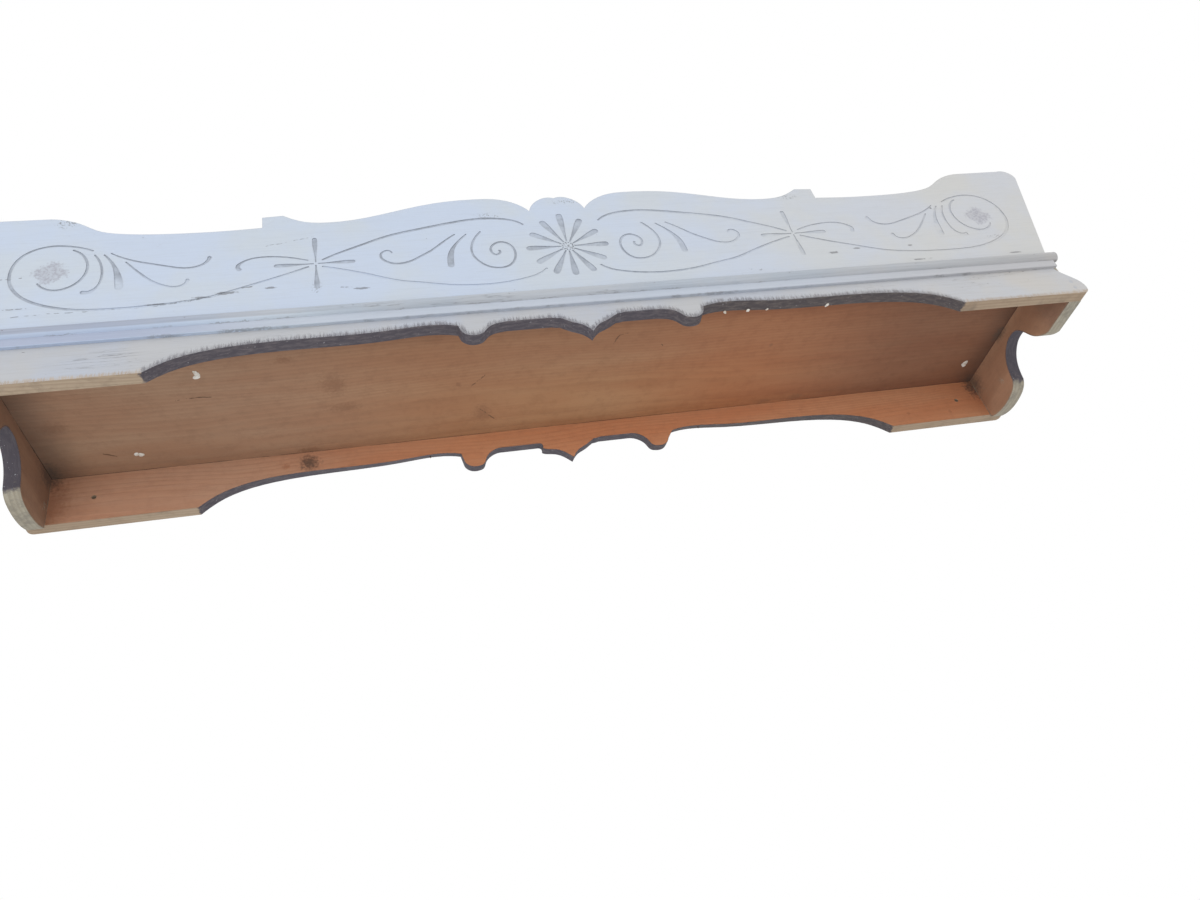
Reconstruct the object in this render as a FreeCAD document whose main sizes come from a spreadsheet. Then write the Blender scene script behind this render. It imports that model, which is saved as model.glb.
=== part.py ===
import FreeCAD, Part
import math
import os
import Sketcher

# Wall shelf with end brackets, in millimetres.
# X runs along the shelf, +Y goes back to the wall, +Z is up.
# The origin is on the wall plane, midway between the two screw holes in the rear apron.

# Sizes of the shelf. Each one can be changed by itself.
SIZES = [
    ("depth_overall", 264.0, "from the front face to the wall, without the moulding"),
    ("front_thickness", 16.0, "crest panel and front apron"),
    ("rear_thickness", 16.0, "rear apron"),
    ("shelf_thickness", 16.0, "shelf board"),
    ("bracket_thickness", 18.0, "end brackets"),
    ("bracket_outer", 661.0, "middle of the ornament to the right bracket's outer face"),
    ("left_extra", 10.0, "left end longer than the right"),
    ("foot_overhang", 4.0, "apron feet past the brackets"),
    ("waist_inset", 23.0, "front boards short of the brackets, at the moulding"),
    ("crest_overhang", 25.0, "crest's upper corners past the brackets"),
    ("shelf_underside", 68.0, "feet to the underside of the shelf board"),
    ("seam_drop", 6.0, "seam between apron and crest below the shelf board"),
    ("flare_drop", 1.5, "top of the apron's flared end below the moulding"),
    ("foot_corner", 7.0, "rounding of the apron's foot corner"),
    ("crest_height", 256.0, "feet to the top of the crest"),
    ("crest_corner", 9.0, "rounding of the crest's upper corner"),
    ("end_block", 108.0, "length of the raised block at each end of the crest"),
    ("end_rise", 62.0, "length of the curve up to the end block"),
    ("low_drop", 39.0, "low run between tab and end block below the crest's top"),
    ("tab_outer", 360.0, "centre to the upright side of the crest's tab"),
    ("tab_length", 24.0, "flat top of the tab"),
    ("tab_drop", 16.0, "tab below the crest's top"),
    ("dip_distance", 287.0, "centre to the dip beside the tab"),
    ("dip_drop", 33.0, "dip below the crest's top"),
    ("hump_distance", 100.0, "centre to the top of the hump"),
    ("hump_drop", 3.0, "hump below the crest's top"),
    ("notch_distance", 36.0, "centre to the V notch beside the middle lobe"),
    ("notch_drop", 32.0, "bottom of the V notch below the crest's top"),
    ("lobe_drop", 7.0, "middle lobe below the crest's top"),
    ("scallop_end", 480.0, "centre to the outer end of the scallops"),
    ("arch_rise", 31.5, "feet to the underside of the front apron's arches"),
    ("rear_arch_rise", 40.5, "feet to the underside of the rear apron's short arches, on the inner side"),
    ("rear_long_rise", 38.5, "feet to the underside of the rear apron's long arches, on the inner side"),
    ("saw_lean", 3.5, "the rear apron's sawn edge, higher on the wall side by this much"),
    ("left_tab", 150.0, "centre to the outer side of the aprons' left tab"),
    ("right_tab", 139.0, "centre to the outer side of the front apron's right tab"),
    ("small_tab", 28.0, "length of an apron's small tab"),
    ("small_tab_drop", 14.5, "feet to the bottom of the small tab"),
    ("point_drop", 5.0, "feet to the middle point of the front apron"),
    ("rear_point_drop", 11.0, "feet to the middle point of the rear apron"),
    ("cut_front", 72.0, "front face to the front end of the C-cut"),
    ("cut_peak", 130.0, "front face to the highest point of the C-cut"),
    ("cut_height", 50.5, "feet to the highest point of the C-cut"),
    ("cut_rear", 172.0, "front face to the rear end of the C-cut"),
    ("heel_drop", 12.0, "rounded heel of a bracket below the feet"),
    ("wall_corner", 6.0, "rounding of the rear apron's upright outer corners"),
    ("moulding_drop", 14.0, "underside of the moulding below the seam"),
    ("moulding_overhang", 10.0, "bead past the ends of the boards behind it"),
    ("fillet_overhang", 3.0, "fillet past the ends of the boards behind it"),
    ("moulding_fillet", 11.0, "height of the moulding's flat lower fillet"),
    ("moulding_bead", 16.0, "height of the moulding's rounded bead"),
    ("fillet_projection", 4.5, "fillet in front of the face"),
    ("bead_projection", 9.0, "bead in front of the face"),
    ("groove_depth", 0.8, "depth of the incised ornament"),
    ("flower_height", 153.0, "feet to the centre of the middle flower"),
    ("flower_radius", 52.0, "middle flower's petals, out to their tips"),
    ("flower_eye", 9.5, "centre of the middle flower to the roots of its petals"),
    ("petal_width", 8.0, "middle flower's petals, at their widest"),
    ("cross_distance", 301.0, "centre to the four-petal flower"),
    ("cross_height", 150.0, "feet to the four-petal flower"),
    ("volute_inset", 103.0, "crest's upper corner to the centre of the end volute"),
    ("volute_height", 163.0, "feet to the centre of the end volute"),
    ("stem_width", 2.4, "width of an incised stem"),
    ("nail_radius", 1.3, "nail shank"),
    ("nail_head_radius", 2.6, "nail head"),
    ("nail_head", 1.2, "thickness of a nail head"),
    ("nail_length", 42.0, "length of a board nail"),
    ("pin_radius", 0.8, "moulding pin"),
    ("pin_length", 18.0, "length of a moulding pin"),
    ("nail_fit", 0.05, "radial gap round a nail"),
    ("screw_inset", 59.0, "screw holes for the wall, in from the brackets' outer faces"),
    ("screw_height", 34.0, "feet to the screw holes"),
    ("screw_hole_radius", 2.75, "screw hole through the rear apron"),
]

doc = FreeCAD.newDocument("wall_shelf")
sheet = doc.addObject("Spreadsheet::Sheet", "Sizes")
for row, (name, value, meaning) in enumerate(SIZES, start=1):
    sheet.set("A%d" % row, name)
    sheet.set("B%d" % row, str(value))
    sheet.set("C%d" % row, meaning)
    sheet.setAlias("B%d" % row, name)
doc.recompute()


def size(name):
    """Read one size from the sheet, in millimetres."""
    return float(sheet.get(name))


# Heights and depths are measured from the feet and the front face, and moved to the origin here.
BACK = size("depth_overall")
RAISE = size("screw_height")


HALF_LENGTH = size("bracket_outer")
WAIST_X = HALF_LENGTH - size("waist_inset")
CORNER_X = HALF_LENGTH + size("crest_overhang")
SEAM = size("shelf_underside") - size("seam_drop")
MOULDING_LOW = SEAM - size("moulding_drop")
MOULDING_TOP = MOULDING_LOW + size("moulding_fillet") + size("moulding_bead")
CREST_TOP = size("crest_height")


def reach(side, past=0.0):
    """Distance from the middle to this far past the bracket's outer face, on the right (1) or left (-1)."""
    extra = size("left_extra") if side < 0 else 0.0
    return HALF_LENGTH + extra + past


def vec(x, y, z):
    """A point given from the middle of the shelf, its front face and its feet."""
    return FreeCAD.Vector(x, y - BACK, z - RAISE)


def plane_of(body, role):
    """The body's own origin plane with this role."""
    for feature in body.Origin.OriginFeatures:
        if feature.Role == role:
            return feature
    raise ValueError(role)


def new_body(name):
    """A body whose label is the node's name."""
    body = doc.addObject("PartDesign::Body", name)
    body.Label = name
    return body


def face_sketch(body, name, offset):
    """A sketch upright across the shelf, this far back from the front face.

    Sketch x is the shelf's X and sketch y is up.
    """
    sketch = body.newObject("Sketcher::SketchObject", name)
    sketch.AttachmentSupport = [(plane_of(body, "XZ_Plane"), "")]
    sketch.MapMode = "FlatFace"
    sketch.setExpression("AttachmentOffset.Base.z", "Sizes.depth_overall - (%s)" % offset)
    sketch.setExpression("AttachmentOffset.Base.y", "-Sizes.screw_height")
    return sketch


def side_sketch(body, name, offset):
    """A sketch upright along the depth, at this distance along X.

    Sketch x goes back from the front face and sketch y is up.
    """
    sketch = body.newObject("Sketcher::SketchObject", name)
    sketch.AttachmentSupport = [(plane_of(body, "YZ_Plane"), "")]
    sketch.MapMode = "FlatFace"
    sketch.setExpression("AttachmentOffset.Base.x", "-Sizes.depth_overall")
    sketch.setExpression("AttachmentOffset.Base.y", "-Sizes.screw_height")
    sketch.setExpression("AttachmentOffset.Base.z", offset)
    return sketch


def flat_sketch(body, name, offset):
    """A level sketch at this height above the feet.

    Sketch x is the shelf's X and sketch y goes back from the front face.
    """
    sketch = body.newObject("Sketcher::SketchObject", name)
    sketch.AttachmentSupport = [(plane_of(body, "XY_Plane"), "")]
    sketch.MapMode = "FlatFace"
    sketch.setExpression("AttachmentOffset.Base.y", "-Sizes.depth_overall")
    sketch.setExpression("AttachmentOffset.Base.z", "(%s) - Sizes.screw_height" % offset)
    return sketch


def v2(x, y):
    """A point in a sketch."""
    return FreeCAD.Vector(x, y, 0.0)


def line(a, b):
    """A straight edge."""
    return Part.LineSegment(v2(*a), v2(*b))


def curve(points):
    """A smooth edge through these points."""
    spline = Part.BSplineCurve()
    spline.interpolate([v2(*point) for point in points])
    return spline


def arc(a, middle, b):
    """A circular edge through three points."""
    return Part.Arc(v2(*a), v2(*middle), v2(*b))


def add_edges(sketch, edges):
    """Put the edges of an outline in a sketch, each one end to end with the next."""
    for edge in edges:
        sketch.addGeometry(edge, False)


def mirrored(half):
    """The same edges on the other side of the middle, as point lists."""
    return [(kind, [(-x, y) for x, y in reversed(points)]) for kind, points in reversed(half)]


def make_edges(pieces):
    """Turn (kind, points) into edges."""
    edges = []
    for kind, points in pieces:
        if kind == "line":
            edges.append(line(points[0], points[1]))
        elif kind == "arc":
            edges.append(arc(points[0], points[1], points[2]))
        else:
            edges.append(curve(points))
    return edges


def add_outline(sketch, left, right):
    """Draw a left half (given as if on the right), a right half and the straight edge that closes them."""
    pieces = mirrored(left) + right
    add_edges(sketch, make_edges(pieces))
    add_edges(sketch, [line(pieces[-1][1][-1], pieces[0][1][0])])


def rectangle(sketch, x0, y0, x1, y1):
    """A rectangle, with its sides tied to expressions (x0, y0, x1 and y1 are texts)."""
    corners = [(-10.0, -10.0), (10.0, -10.0), (10.0, 10.0), (-10.0, 10.0)]
    first = sketch.GeometryCount
    for index in range(4):
        sketch.addGeometry(line(corners[index], corners[(index + 1) % 4]), False)
    for index in range(4):
        following = first + (index + 1) % 4
        sketch.addConstraint(Sketcher.Constraint("Coincident", first + index, 2, following, 1))
    sketch.addConstraint(Sketcher.Constraint("Horizontal", first))
    sketch.addConstraint(Sketcher.Constraint("Vertical", first + 1))
    sketch.addConstraint(Sketcher.Constraint("Horizontal", first + 2))
    sketch.addConstraint(Sketcher.Constraint("Vertical", first + 3))
    ties = [
        (x0, "DistanceX", 0),
        (y0, "DistanceY", 0),
        (x1, "DistanceX", 2),
        (y1, "DistanceY", 2),
    ]
    for text, kind, vertex in ties:
        number = sketch.addConstraint(Sketcher.Constraint(kind, -1, 1, first + vertex, 1, 10.0))
        sketch.setExpression("Constraints[%d]" % number, text)


def holes(sketch, centres, radius_text):
    """Round holes of one radius at these centres."""
    first = sketch.GeometryCount
    for x, y in centres:
        sketch.addGeometry(Part.Circle(v2(x, y), FreeCAD.Vector(0, 0, 1), 1.0), False)
    for index, (x, y) in enumerate(centres):
        number = first + index
        sketch.addConstraint(Sketcher.Constraint("DistanceX", -1, 1, number, 3, x))
        sketch.addConstraint(Sketcher.Constraint("DistanceY", -1, 1, number, 3, y))
        tied = sketch.addConstraint(Sketcher.Constraint("Radius", number, 1.0))
        sketch.setExpression("Constraints[%d]" % tied, radius_text)


def pad(body, sketch, name, length):
    """Thicken a sketch by a length given as an expression."""
    feature = body.newObject("PartDesign::Pad", name)
    feature.Profile = sketch
    feature.setExpression("Length", length)
    sketch.Visibility = False
    return feature


def pocket(body, sketch, name, length, reverse=False):
    """Cut a sketch into the body by a length given as an expression."""
    doc.recompute()
    before = body.Shape.Volume
    feature = body.newObject("PartDesign::Pocket", name)
    feature.Profile = sketch
    feature.setExpression("Length", length)
    feature.Reversed = reverse
    sketch.Visibility = False
    doc.recompute()
    if body.Shape.Volume > before - 0.5:
        raise ValueError("%s cuts nothing" % name)
    return feature


# ---------------------------------------------------------------- nails: where they go
HALF_NAIL_ROW = WAIST_X - 60.0
CREST_NAIL_Z = (size("shelf_underside") + MOULDING_TOP) / 2
CREST_NAILS = [(HALF_NAIL_ROW * step / 3.0, CREST_NAIL_Z) for step in range(-3, 4)]
BRACKET_X = {side: side * reach(side, -size("bracket_thickness") / 2) for side in (-1, 1)}
APRON_NAIL_X = {side: side * reach(side, -size("bracket_thickness") * 0.7) for side in (-1, 1)}
APRON_NAIL_Z = (size("foot_corner") + 3.0, size("foot_corner") + 14.0)
APRON_NAILS = [(APRON_NAIL_X[side], height) for side in (-1, 1) for height in APRON_NAIL_Z]
REAR_NAIL_Z = (16.0, size("shelf_underside") - 16.0)
REAR_END_NAILS = [(BRACKET_X[side], height) for side in (-1, 1) for height in REAR_NAIL_Z]
REAR_Y = BACK - size("rear_thickness") / 2
REAR_TOP_NAILS = [((HALF_LENGTH - 90.0) * step / 3.0, REAR_Y) for step in range(-3, 4)]
BRACKET_NAIL_Y = [
    (size("front_thickness") + (size("cut_front") + size("cut_peak")) / 2) / 2,
    (size("cut_rear") + BACK - size("rear_thickness")) / 2,
]
BRACKET_TOP_NAILS = [(BRACKET_X[side], back) for side in (-1, 1) for back in BRACKET_NAIL_Y]
PIN_Z = MOULDING_LOW + size("moulding_fillet") + size("moulding_bead") / 2
PINS = [((WAIST_X - 24.0) * (2 * step - 7) / 7.0, PIN_Z) for step in range(8)]
NAIL_HOLE = "Sizes.nail_radius + Sizes.nail_fit"
HEAD_HOLE = "Sizes.nail_head_radius + Sizes.nail_fit"
PIN_HOLE = "Sizes.pin_radius + Sizes.nail_fit"


# ---------------------------------------------------------------- crest panel
def crest_half(side):
    """One half of the crest's outline, from the middle of the lobe out and down to the seam."""
    top = CREST_TOP
    lobe = top - size("lobe_drop")
    notch_x = size("notch_distance")
    notch_z = top - size("notch_drop")
    hump_x = size("hump_distance")
    hump_z = top - size("hump_drop")
    dip_x = size("dip_distance")
    dip_z = top - size("dip_drop")
    tab_x = size("tab_outer")
    tab_z = top - size("tab_drop")
    tab_in = tab_x - size("tab_length")
    low = top - size("low_drop")
    corner_x = reach(side, size("crest_overhang"))
    block_x = CORNER_X - size("end_block")
    rise_x = block_x - size("end_rise")
    round_off = size("crest_corner")
    lobe_drop = lobe - notch_z
    hump_drop = hump_z - dip_z
    outline = []
    outline.append(("curve", [
        (0.0, lobe - 1.8),
        (notch_x * 0.30, lobe),
        (notch_x * 0.62, lobe - lobe_drop * 0.20),
        (notch_x * 0.86, lobe - lobe_drop * 0.55),
        (notch_x, notch_z),
    ]))
    outline.append(("curve", [
        (notch_x, notch_z),
        (notch_x + (hump_x - notch_x) * 0.28, notch_z + (hump_z - notch_z) * 0.62),
        (notch_x + (hump_x - notch_x) * 0.62, notch_z + (hump_z - notch_z) * 0.93),
        (hump_x, hump_z),
        (hump_x + (dip_x - hump_x) * 0.25, hump_z - hump_drop * 0.09),
        (hump_x + (dip_x - hump_x) * 0.50, hump_z - hump_drop * 0.43),
        (hump_x + (dip_x - hump_x) * 0.72, hump_z - hump_drop * 0.80),
        (dip_x, dip_z),
        (dip_x + (tab_in - dip_x) * 0.55, dip_z + (tab_z - dip_z) * 0.26),
        (dip_x + (tab_in - dip_x) * 0.80, dip_z + (tab_z - dip_z) * 0.62),
        (tab_in, tab_z),
    ]))
    outline.append(("line", [(tab_in, tab_z), (tab_x, tab_z - 1.6)]))
    outline.append(("line", [(tab_x, tab_z - 1.6), (tab_x, low + 2.5)]))
    outline.append(("curve", [
        (tab_x, low + 2.5),
        (tab_x + (rise_x - tab_x) * 0.30, low + 0.2),
        (tab_x + (rise_x - tab_x) * 0.65, low + 0.6),
        (rise_x, low + 5.5),
        (rise_x + (block_x - rise_x) * 0.40, low + (top - low) * 0.34),
        (rise_x + (block_x - rise_x) * 0.72, low + (top - low) * 0.70),
        (block_x - 2.0, top - 4.4),
        (block_x + 8.0, top - 1.6),
        (block_x + 22.0, top - 0.6),
    ]))
    outline.append(("line", [(block_x + 22.0, top - 0.6), (corner_x - round_off - 14.0, top)]))
    outline.append(("arc", [
        (corner_x - round_off - 14.0, top),
        (corner_x - 5.0, top - 5.2),
        (corner_x - 0.4, top - round_off - 9.0),
    ]))
    outline.append(("line", [(corner_x - 0.4, top - round_off - 9.0), (reach(side, -size("waist_inset")), SEAM)]))
    return outline


crest = new_body("crest_panel")
crest_sketch = face_sketch(crest, "crest_outline", "Sizes.front_thickness")
add_outline(crest_sketch, crest_half(-1), crest_half(1))
pad(crest, crest_sketch, "crest_board", "Sizes.front_thickness")
doc.recompute()


# Ornament. Each stroke is a closed loop round a centre line, as wide as the cutter went deep.
def offset_points(points, widths, side):
    """Points beside a centre line, half a stroke's width away."""
    beside = []
    count = len(points)
    for index in range(count):
        before = points[max(index - 1, 0)]
        after = points[min(index + 1, count - 1)]
        dx = after[0] - before[0]
        dy = after[1] - before[1]
        length = math.hypot(dx, dy)
        half_width = widths[index] / 2.0
        beside.append((points[index][0] - side * dy / length * half_width,
                       points[index][1] + side * dx / length * half_width))
    return beside


def stroke(points, widths):
    """A closed loop of edges: a smooth band along the points with round ends."""
    left = offset_points(points, widths, 1.0)
    right = offset_points(points, widths, -1.0)
    tip = points[-1]
    near = points[-2]
    span = math.hypot(tip[0] - near[0], tip[1] - near[1])
    out = ((tip[0] - near[0]) / span * widths[-1] / 2.0, (tip[1] - near[1]) / span * widths[-1] / 2.0)
    root = points[0]
    second = points[1]
    reach = math.hypot(second[0] - root[0], second[1] - root[1])
    back = ((root[0] - second[0]) / reach * widths[0] / 2.0, (root[1] - second[1]) / reach * widths[0] / 2.0)
    return [
        curve(left),
        arc(left[-1], (tip[0] + out[0], tip[1] + out[1]), right[-1]),
        curve(list(reversed(right))),
        arc(right[0], (root[0] + back[0], root[1] + back[1]), left[0]),
    ]


def taper(count, first, last, swell=0.0):
    """Widths along a stroke, from first to last, with a swelling in the middle."""
    widths = []
    for index in range(count):
        share = index / (count - 1.0)
        widths.append(first + (last - first) * share + swell * math.sin(math.pi * share))
    return widths


def at(anchor_x, anchor_z, pairs):
    """Points given from an anchor of the ornament."""
    return [(anchor_x + dx, anchor_z + dz) for dx, dz in pairs]


STEM = size("stem_width")
FLOWER_Z = size("flower_height")
CROSS_X = size("cross_distance")
CROSS_Z = size("cross_height")
VOLUTE_X = CORNER_X - size("volute_inset")
VOLUTE_Z = size("volute_height")


def petal(angle_deg, length):
    """One petal of the middle flower, from the eye out to its tip."""
    angle = math.radians(angle_deg)
    inner = size("flower_eye")
    reach = length - inner
    points = []
    for stop in (inner, inner + reach * 0.4, inner + reach * 0.75, length - size("petal_width") / 2):
        points.append((stop * math.cos(angle), FLOWER_Z + stop * math.sin(angle)))
    return stroke(points, [1.8, 4.8, size("petal_width"), size("petal_width")])


def flower_petals():
    """The five petals on the right of the middle flower."""
    radius = size("flower_radius")
    return [
        petal(-63.0, radius + 2.0),
        petal(-32.0, radius - 1.0),
        petal(0.0, radius),
        petal(32.0, radius - 1.0),
        petal(63.0, radius + 4.0),
    ]


def upright_petals():
    """The petals straight above and below the eye, which cross the middle line."""
    return [petal(90.0, size("flower_radius") + 10.0), petal(-90.0, size("flower_radius") + 1.0)]


def eye_dots():
    """Small punched dots in a ring round the flower's eye, and one in its centre."""
    ring = size("flower_eye") - 3.0
    dots = [(0.0, FLOWER_Z)]
    for step in range(12):
        angle = math.radians(30.0 * step + 15.0)
        dots.append((ring * math.cos(angle), FLOWER_Z + ring * math.sin(angle)))
    return dots


def inner_scrolls():
    """The spiral beside the flower, the hanging leaf and the curled tendril."""
    spiral = at(0.0, FLOWER_Z, [
        (104.0, 36.0), (112.0, 25.0), (118.0, 10.0), (118.0, -6.0), (112.0, -18.0), (103.0, -27.0), (91.0, -31.0),
        (79.0, -29.0), (71.0, -21.0), (67.0, -9.0), (68.0, 3.0), (74.0, 12.0), (82.0, 15.0), (90.0, 12.0),
        (95.5, 4.0), (95.0, -3.0), (91.0, -7.5), (86.5, -6.0), (85.5, -0.5),
    ])
    leaf = at(0.0, FLOWER_Z, [
        (122.0, 33.0), (132.0, 22.0), (139.5, 11.0), (144.0, 0.0), (146.0, -12.0), (146.5, -21.0),
    ])
    tendril = at(0.0, FLOWER_Z, [
        (136.0, 34.0), (146.0, 26.0), (156.0, 17.0), (167.0, 7.0), (179.0, -1.0), (190.0, -8.0), (202.0, -12.0),
        (213.0, -11.5), (221.0, -7.0), (226.5, 1.0), (224.5, 9.0), (218.0, 12.0), (213.5, 8.0),
    ])
    return [
        stroke(spiral, taper(len(spiral), STEM, STEM * 1.2)),
        stroke(leaf, [1.6, 2.6, 4.0, 6.4, 7.6, 7.4]),
        stroke(tendril, taper(len(tendril), STEM * 0.8, STEM * 0.8, 1.0)),
    ]


def long_stems():
    """The stem over the spiral and the stem under it, from the middle flower to the cross."""
    gap = CROSS_X - 301.0
    upper = [
        (49.0, FLOWER_Z + 46.0), (60.0, FLOWER_Z + 54.0), (76.0, FLOWER_Z + 59.0), (96.0, FLOWER_Z + 61.0),
        (116.0, FLOWER_Z + 60.0), (150.0 + gap * 0.3, FLOWER_Z + 54.0), (182.0 + gap * 0.5, FLOWER_Z + 47.0),
        (CROSS_X - 80.0, CROSS_Z + 39.5), (CROSS_X - 56.0, CROSS_Z + 29.0), (CROSS_X - 30.0, CROSS_Z + 17.5),
        (CROSS_X - 8.0, CROSS_Z + 6.0),
    ]
    lower = [
        (34.0, FLOWER_Z - 38.0), (46.0, FLOWER_Z - 47.0), (62.0, FLOWER_Z - 52.5), (82.0, FLOWER_Z - 56.5),
        (104.0, FLOWER_Z - 58.5), (126.0, FLOWER_Z - 58.0), (152.0 + gap * 0.3, FLOWER_Z - 55.0),
        (182.0 + gap * 0.5, FLOWER_Z - 48.0), (CROSS_X - 90.0, CROSS_Z - 38.0), (CROSS_X - 60.0, CROSS_Z - 25.0),
        (CROSS_X - 32.0, CROSS_Z - 14.0), (CROSS_X - 8.0, CROSS_Z - 6.0),
    ]
    return [
        stroke(upper, taper(len(upper), STEM, STEM, 1.2)),
        stroke(lower, taper(len(lower), STEM, STEM, 0.8)),
    ]


def cross_petals():
    """The four long petals, and the hooked tendril outside them."""
    loops = []
    for dx, dz, reach in ((1.0, 0.0, 44.0), (-1.0, 0.0, 42.0), (0.0, 1.0, 43.0), (0.0, -1.0, 40.0)):
        stops = (3.0, reach * 0.5, reach * 0.8, reach)
        points = [(CROSS_X + dx * stop, CROSS_Z + dz * stop) for stop in stops]
        loops.append(stroke(points, [1.4, 3.4, 5.6, 5.2]))
    hook = at(CROSS_X, CROSS_Z, [
        (9.0, 6.5), (28.0, 13.0), (50.0, 16.8), (68.0, 16.0), (80.0, 11.0), (86.0, 3.5), (84.5, -2.0),
    ])
    loops.append(stroke(hook, [1.8, 2.0, 2.0, 2.2, 2.6, 4.4, 5.0]))
    return loops


def outer_volute():
    """The long stem out of the cross, round the end volute."""
    reach = VOLUTE_X - CROSS_X - 282.0
    stem = at(CROSS_X, CROSS_Z, [
        (9.0, -5.0), (38.0, -17.0), (60.0, -25.0), (84.0, -33.5),
    ])
    stem += [(CROSS_X + 114.0 + reach * 0.3, CROSS_Z - 43.5), (CROSS_X + 150.0 + reach * 0.55, CROSS_Z - 49.5)]
    stem += at(VOLUTE_X, VOLUTE_Z, [
        (-92.0, -65.0), (-58.0, -65.0), (-30.0, -62.5), (-8.0, -56.5), (8.0, -49.5), (23.0, -39.0), (33.5, -26.0),
        (39.5, -11.0), (40.5, 4.0), (37.5, 19.0), (29.5, 32.0), (17.0, 40.5), (1.0, 44.0), (-14.0, 42.5),
        (-28.0, 38.5), (-40.0, 32.5),
    ])
    widths = taper(len(stem), STEM, STEM * 0.9, 1.0)
    return [stroke(stem, widths)]


def volute_ring():
    """The inner turn of the volute."""
    ring = at(VOLUTE_X, VOLUTE_Z, [
        (-20.0, 35.0), (-29.5, 27.0), (-35.5, 15.0), (-37.0, 2.0), (-34.0, -11.0), (-26.5, -22.0), (-16.0, -28.5),
        (-5.0, -29.5), (4.5, -25.0), (11.0, -17.5),
    ])
    return [stroke(ring, taper(len(ring), STEM * 0.9, STEM * 0.8, 0.8))]


def volute_branches():
    """The hook, the hanging leaf and the two tendrils that leave the top of the volute."""
    hook = at(VOLUTE_X, VOLUTE_Z, [
        (-43.0, 24.5), (-49.0, 13.0), (-52.6, -2.0), (-52.6, -17.0), (-49.0, -29.0), (-43.0, -35.5), (-36.0, -36.0),
    ])
    leaf = at(VOLUTE_X, VOLUTE_Z, [
        (-53.0, 24.0), (-60.0, 13.5), (-65.5, 1.5), (-69.0, -11.0), (-71.0, -22.0), (-71.8, -31.0),
    ])
    return [
        stroke(hook, [1.8, 2.2, 2.4, 2.4, 2.6, 4.6, 5.6]),
        stroke(leaf, [1.8, 2.6, 4.2, 7.0, 8.4, 8.0]),
    ]


def volute_tendrils():
    """The two long tendrils with small bulbs at their ends."""
    upper = at(VOLUTE_X, VOLUTE_Z, [
        (-60.0, 26.0), (-72.0, 17.5), (-87.0, 10.0), (-102.0, 4.5), (-120.0, -1.5), (-138.0, -6.5), (-151.0, -5.5),
        (-161.0, 0.5), (-165.0, 9.0),
    ])
    lower = at(VOLUTE_X, VOLUTE_Z, [
        (-76.5, 9.5), (-86.0, -3.0), (-96.0, -15.0), (-107.0, -26.0), (-119.0, -33.5), (-131.0, -36.5),
        (-140.0, -33.0), (-142.6, -27.0),
    ])
    return [
        stroke(upper, [1.6, 2.0, 2.2, 2.4, 2.4, 2.4, 2.6, 3.4, 4.6]),
        stroke(lower, [1.6, 2.0, 2.2, 2.2, 2.2, 2.4, 3.2, 4.2]),
    ]


def cut_loops(name, loops):
    """Cut closed loops into the crest's face."""
    sketch = face_sketch(crest, name + "_lines", "0")
    for loop in loops:
        add_edges(sketch, loop)
    return pocket(crest, sketch, name, "Sizes.groove_depth")


one_side = []
one_side.append(cut_loops("petals", flower_petals()))
one_side.append(cut_loops("scrolls", inner_scrolls()))
one_side.append(cut_loops("stems", long_stems()))
one_side.append(cut_loops("cross", cross_petals()))
one_side.append(cut_loops("volute_stem", outer_volute()))
one_side.append(cut_loops("volute_turn", volute_ring()))
one_side.append(cut_loops("branches", volute_branches()))
one_side.append(cut_loops("tendrils", volute_tendrils()))
other_side = crest.newObject("PartDesign::Mirrored", "ornament_other_side")
other_side.Originals = one_side
other_side.MirrorPlane = (plane_of(crest, "YZ_Plane"), [""])
crest.Tip = other_side
doc.recompute()
cut_loops("upright_petals", upright_petals())
dots_sketch = face_sketch(crest, "eye_dots_lines", "0")
holes(dots_sketch, eye_dots(), "0.9")
pocket(crest, dots_sketch, "eye_dots", "Sizes.groove_depth")
nail_sketch = face_sketch(crest, "crest_nail_lines", "0")
holes(nail_sketch, CREST_NAILS, NAIL_HOLE)
pocket(crest, nail_sketch, "crest_nail_holes", "Sizes.front_thickness")
head_sketch = face_sketch(crest, "crest_head_lines", "0")
holes(head_sketch, CREST_NAILS, HEAD_HOLE)
pocket(crest, head_sketch, "crest_nail_sinks", "Sizes.nail_head + Sizes.nail_fit")


# ---------------------------------------------------------------- aprons
# Middle of a scalloped edge: distance out, and share of the way up from the point to the arch.
SWEPT = [(5.0, 0.25), (10.0, 0.42), (20.0, 0.61), (28.0, 0.79), (34.0, 0.94)]
STEPPED = [(8.0, 0.27), (15.0, 0.45), (25.0, 0.57), (35.0, 0.63), (39.0, 0.70)]


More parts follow.
